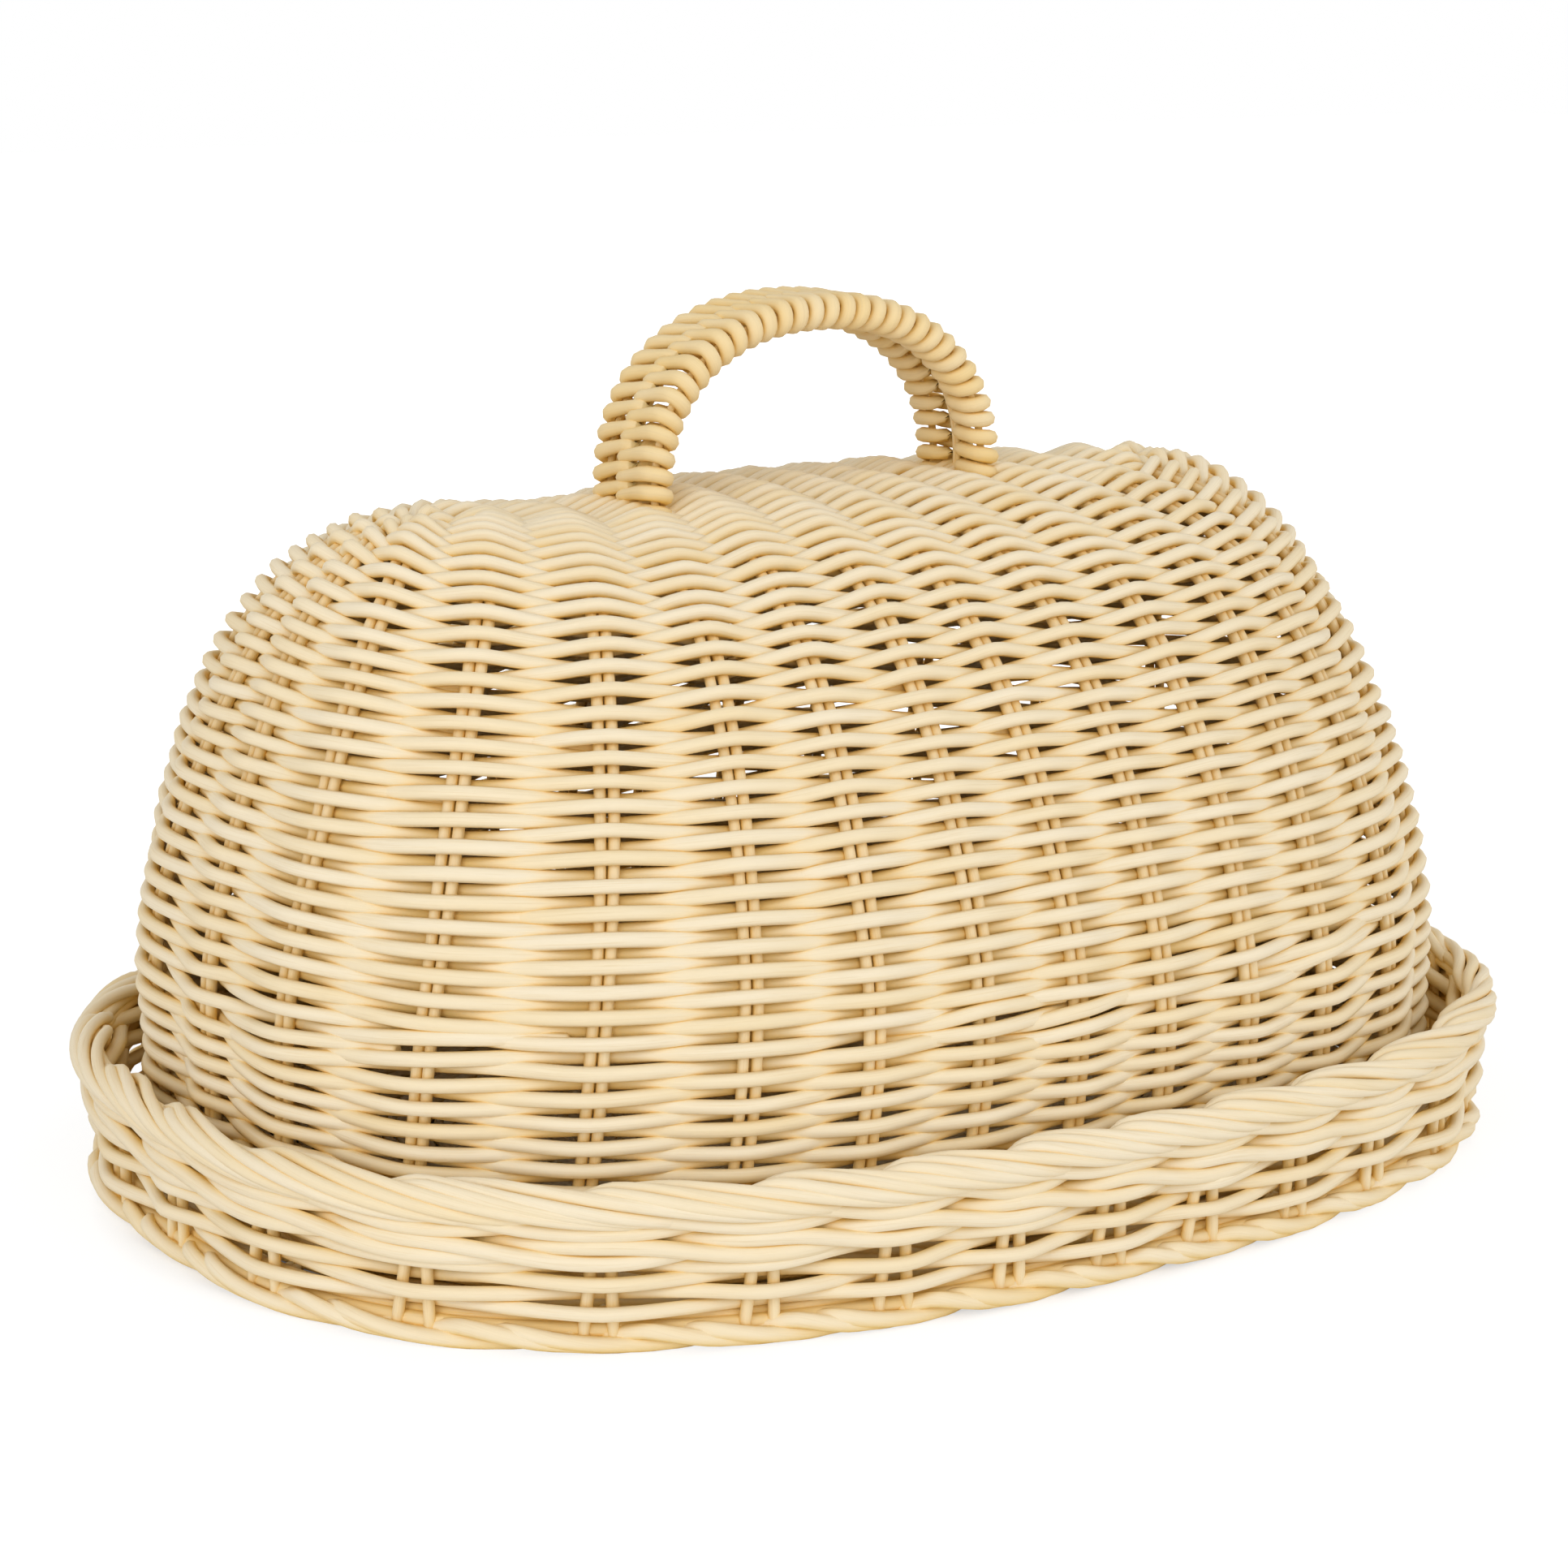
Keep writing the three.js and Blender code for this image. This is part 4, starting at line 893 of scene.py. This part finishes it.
def cane_material(name, pale, middle, deep, streak, hollow_shade_colour):
    """Peeled cane: fine fibres along the strand, a slow change of shade, darker flecks, and painted warm
    shade that is mixed in where ambient occlusion finds the hollows of the weave."""
    material, nodes, links, shader = node_graph(name)
    grain = nodes.new("ShaderNodeAttribute")
    grain.attribute_name = "grain"
    tone_and_painted_shade = nodes.new("ShaderNodeAttribute")
    tone_and_painted_shade.attribute_name = "tone_and_painted_shade"

    # Fibres
    squeeze = nodes.new("ShaderNodeMapping")
    squeeze.inputs["Scale"].default_value = (1.7, 1.7, 0.035)
    links.new(grain.outputs["Vector"], squeeze.inputs["Vector"])
    fibre = nodes.new("ShaderNodeTexNoise")
    fibre.inputs["Scale"].default_value = 1.6
    fibre.inputs["Detail"].default_value = 4.0
    fibre.inputs["Roughness"].default_value = 0.6
    links.new(squeeze.outputs["Vector"], fibre.inputs["Vector"])

    # Shade, from the strand's tone with its painted shade, and slow blotches
    blotch_place = nodes.new("ShaderNodeMapping")
    blotch_place.inputs["Scale"].default_value = (0.1, 0.1, 0.03)
    links.new(grain.outputs["Vector"], blotch_place.inputs["Vector"])
    blotch = nodes.new("ShaderNodeTexNoise")
    blotch.inputs["Scale"].default_value = 1.0
    blotch.inputs["Detail"].default_value = 2.0
    links.new(blotch_place.outputs["Vector"], blotch.inputs["Vector"])
    shade = nodes.new("ShaderNodeMath")
    shade.operation = "MULTIPLY_ADD"
    shade.inputs[1].default_value = 0.3
    links.new(tone_and_painted_shade.outputs["Fac"], shade.inputs[0])
    half = nodes.new("ShaderNodeMath")
    half.operation = "MULTIPLY"
    half.inputs[1].default_value = 0.5
    links.new(blotch.outputs["Fac"], half.inputs[0])
    links.new(half.outputs["Value"], shade.inputs[2])
    ramp_node = nodes.new("ShaderNodeValToRGB")
    ramp_node.color_ramp.elements[0].position = 0.25
    ramp_node.color_ramp.elements[0].color = (*pale, 1)
    ramp_node.color_ramp.elements[1].position = 0.95
    ramp_node.color_ramp.elements[1].color = (*deep, 1)
    ramp_node.color_ramp.elements.new(0.6).color = (*middle, 1)
    links.new(shade.outputs["Value"], ramp_node.inputs["Fac"])

    # Darker flecks along the fibres
    streaks = nodes.new("ShaderNodeMapRange")
    streaks.inputs["From Min"].default_value = 0.52
    streaks.inputs["From Max"].default_value = 0.75
    streaks.inputs["To Max"].default_value = 0.5
    links.new(fibre.outputs["Fac"], streaks.inputs["Value"])
    mix = nodes.new("ShaderNodeMix")
    mix.data_type = "RGBA"
    links.new(streaks.outputs["Result"], mix.inputs["Factor"])
    links.new(ramp_node.outputs["Color"], mix.inputs["A"])
    mix.inputs["B"].default_value = (*streak, 1)

    # Painted warm shade in the hollows, mixed in by ambient occlusion
    hollow = nodes.new("ShaderNodeAmbientOcclusion")
    hollow.samples = 4
    hollow.inputs["Distance"].default_value = 20 * MM
    openness = nodes.new("ShaderNodeMapRange")
    openness.inputs["From Min"].default_value = 0.05
    openness.inputs["From Max"].default_value = 0.52
    links.new(hollow.outputs["AO"], openness.inputs["Value"])
    hollow_shade_mix = nodes.new("ShaderNodeMix")
    hollow_shade_mix.data_type = "RGBA"
    links.new(openness.outputs["Result"], hollow_shade_mix.inputs["Factor"])
    hollow_shade_mix.inputs["A"].default_value = (*hollow_shade_colour, 1)
    links.new(mix.outputs["Result"], hollow_shade_mix.inputs["B"])
    links.new(hollow_shade_mix.outputs["Result"], shader.inputs["Base Color"])

    # A satin surface with fine relief
    rough = nodes.new("ShaderNodeMapRange")
    rough.inputs["To Min"].default_value = 0.5
    rough.inputs["To Max"].default_value = 0.75
    links.new(fibre.outputs["Fac"], rough.inputs["Value"])
    links.new(rough.outputs["Result"], shader.inputs["Roughness"])
    shader.inputs["Specular IOR Level"].default_value = 0.12
    bump = nodes.new("ShaderNodeBump")
    bump.inputs["Strength"].default_value = 0.35
    bump.inputs["Distance"].default_value = 0.15 * MM
    links.new(fibre.outputs["Fac"], bump.inputs["Height"])
    links.new(bump.outputs["Normal"], shader.inputs["Normal"])
    return material


# The warm colour of each cane is painted shade for the hollows of the weave.
MATERIALS = {
    "cane": cane_material(
        "cane", pale=(0.90, 0.785, 0.58), middle=(0.885, 0.735, 0.48), deep=(0.87, 0.65, 0.31),
        streak=(0.76, 0.58, 0.32), hollow_shade_colour=(0.95, 0.67, 0.21)),
    "stake_cane": cane_material(
        "stake_cane", pale=(0.90, 0.765, 0.52), middle=(0.87, 0.69, 0.41), deep=(0.84, 0.60, 0.27),
        streak=(0.72, 0.52, 0.25), hollow_shade_colour=(0.94, 0.64, 0.18)),
}


# Stage

FLOOR_HALF = 6.0  # metres
SHADOW_HALF_LENGTH = 0.21  # metres, of the oval on the floor in which the shadow shows in full
SHADOW_HALF_WIDTH = 0.16


def floor():
    """A pale floor with the basket's shadow near it, which turns nearly white to the camera further out."""
    corners = [(-FLOOR_HALF, -FLOOR_HALF, 0), (FLOOR_HALF, -FLOOR_HALF, 0), (FLOOR_HALF, FLOOR_HALF, 0),
               (-FLOOR_HALF, FLOOR_HALF, 0)]
    mesh = bpy.data.meshes.new("floor")
    mesh.from_pydata(corners, [], [(0, 1, 2, 3)])
    piece = bpy.data.objects.new("floor", mesh)
    bpy.context.scene.collection.objects.link(piece)
    material, nodes, links, shader = node_graph("floor")
    shader.inputs["Base Color"].default_value = (0.9, 0.9, 0.9, 1)
    shader.inputs["Roughness"].default_value = 0.9
    rays = nodes.new("ShaderNodeLightPath")
    white = nodes.new("ShaderNodeEmission")
    place = nodes.new("ShaderNodeTexCoord")
    squash = nodes.new("ShaderNodeMapping")
    squash.inputs["Scale"].default_value = (1 / SHADOW_HALF_LENGTH, 1 / SHADOW_HALF_WIDTH, 1)
    links.new(place.outputs["Object"], squash.inputs["Vector"])
    far = nodes.new("ShaderNodeVectorMath")
    far.operation = "LENGTH"
    links.new(squash.outputs["Vector"], far.inputs[0])
    clear = nodes.new("ShaderNodeMapRange")
    clear.inputs["From Min"].default_value = 0.9
    clear.inputs["From Max"].default_value = 1.08
    clear.inputs["To Max"].default_value = 0.74
    links.new(far.outputs["Value"], clear.inputs["Value"])
    glow = nodes.new("ShaderNodeMapRange")
    glow.inputs["From Min"].default_value = 1.2
    glow.inputs["From Max"].default_value = 5.0
    glow.inputs["To Min"].default_value = 1.13
    glow.inputs["To Max"].default_value = 1.5
    links.new(far.outputs["Value"], glow.inputs["Value"])
    links.new(glow.outputs["Result"], white.inputs["Strength"])
    seen = nodes.new("ShaderNodeMath")
    seen.operation = "MULTIPLY"
    links.new(rays.outputs["Is Camera Ray"], seen.inputs[0])
    links.new(clear.outputs["Result"], seen.inputs[1])
    blend = nodes.new("ShaderNodeMixShader")
    links.new(seen.outputs["Value"], blend.inputs["Fac"])
    links.new(shader.outputs["BSDF"], blend.inputs[1])
    links.new(white.outputs["Emission"], blend.inputs[2])
    links.new(blend.outputs["Shader"], nodes["Material Output"].inputs["Surface"])
    mesh.materials.append(material)


def world():
    """Even light from all round, and plain white where the camera or a mirror ray sees past the floor."""
    scene_world = bpy.data.worlds.new("studio")
    bpy.context.scene.world = scene_world
    scene_world.use_nodes = True
    nodes, links = scene_world.node_tree.nodes, scene_world.node_tree.links
    light = nodes["Background"]
    light.inputs["Color"].default_value = (1, 1, 1, 1)
    light.inputs["Strength"].default_value = 0.61
    backdrop = nodes.new("ShaderNodeBackground")
    backdrop.inputs["Color"].default_value = (1, 1, 1, 1)
    rays = nodes.new("ShaderNodeLightPath")
    seen = nodes.new("ShaderNodeMath")
    seen.operation = "MAXIMUM"
    links.new(rays.outputs["Is Camera Ray"], seen.inputs[0])
    links.new(rays.outputs["Is Transmission Ray"], seen.inputs[1])
    also = nodes.new("ShaderNodeMath")
    also.operation = "MAXIMUM"
    links.new(seen.outputs["Value"], also.inputs[0])
    links.new(rays.outputs["Is Glossy Ray"], also.inputs[1])
    blend = nodes.new("ShaderNodeMixShader")
    links.new(also.outputs["Value"], blend.inputs["Fac"])
    links.new(light.outputs["Background"], blend.inputs[1])
    links.new(backdrop.outputs["Background"], blend.inputs[2])
    links.new(blend.outputs["Shader"], nodes["World Output"].inputs["Surface"])


def lamp(name, place, size, power):
    """A square lamp at a place in metres that faces the middle of the basket."""
    data = bpy.data.lights.new(name, "AREA")
    data.size = size
    data.energy = power
    piece = bpy.data.objects.new(name, data)
    piece.location = place
    piece.rotation_euler = (Vector((0, 0, 0.1)) - Vector(place)).to_track_quat("-Z", "Y").to_euler()
    bpy.context.scene.collection.objects.link(piece)


def camera():
    azimuth, elevation = math.radians(-33.0), math.radians(12.53)
    distance = 1129.01
    target = Vector((-5.52, 0.0, 110.98))
    back = Vector((math.sin(azimuth) * math.cos(elevation), -math.cos(azimuth) * math.cos(elevation),
                   math.sin(elevation)))
    right = Vector((math.cos(azimuth), math.sin(azimuth), 0))
    up = back.cross(right)
    data = bpy.data.cameras.new("camera")
    data.lens = 84.40
    data.sensor_width = 36
    data.sensor_fit = "HORIZONTAL"
    piece = bpy.data.objects.new("camera", data)
    turn = Matrix((right, up, back)).transposed().to_4x4()
    piece.matrix_world = Matrix.Translation((target + back * distance) * MM) @ turn
    bpy.context.scene.collection.objects.link(piece)
    bpy.context.scene.camera = piece


bpy.context.scene.view_settings.view_transform = "Standard"
camera()
world()
floor()
lamp("key", (-0.65, -2.4, 1.2), 2.4, 18.5)
lamp("left", (-2.3, -1.0, 1.0), 1.6, 16)
lamp("right", (2.3, -1.4, 0.9), 1.6, 11)


# Pieces

def make(name, draw, body, slot, *nodes):
    """One piece, whose strands are drawn by a function of its weave."""
    weave = Weave(name)
    draw(weave)
    weave.build(MATERIALS[slot], body, nodes)


stake_nodes = [name for name in frame["nodes"] if "_stakes_" in name]
rod_nodes = [name for name in frame["nodes"] if name.startswith("handle_rod")]
make("lid_lower_strands", lid_lower, "lid", "cane", "lid_lower_weave")
make("lid_step_band_strands", step_band, "lid", "cane", "lid_wale")
make("lid_side_strands", lid_side, "lid", "cane", "lid_upper_weave")
make("lid_shoulder_strands", lid_shoulder, "lid", "cane", "lid_upper_weave")
make("lid_crown_strands", lid_crown, "lid", "cane", "lid_upper_weave")
make("lid_border_strands", lid_border, "lid", "cane", "lid_border")
make("lid_stake_rods", lid_stakes, "lid", "stake_cane", *stake_nodes)
make("handle_wrap_strand", handle_wrap, "lid", "cane", "handle_wrap")
make("handle_core_rods", handle_rods, "lid", "stake_cane", *rod_nodes)
make("tray_wall_strands", tray_wall, "tray", "cane", "tray_wall_weave")
make("tray_wale_strands", tray_wale, "tray", "cane", "tray_wale")
make("tray_rim_strands", tray_rim, "tray", "cane", "tray_rim")
make("tray_foot_strands", tray_foot, "tray", "cane", "tray_foot_border")
make("tray_stake_rods", tray_stakes, "tray", "stake_cane", "tray_foot_border")
make("tray_floor_strands", tray_floor, "tray", "cane", "tray_floor_weave")
make("lid_ridge_strand", ridge_strand, "lid", "cane", "lid_upper_weave")

# The floor's sticks keep their solids.
for name, node in frame["nodes"].items():
    if name.startswith("floor_"):
        node.data.materials.clear()
        node.data.materials.append(MATERIALS["stake_cane"])
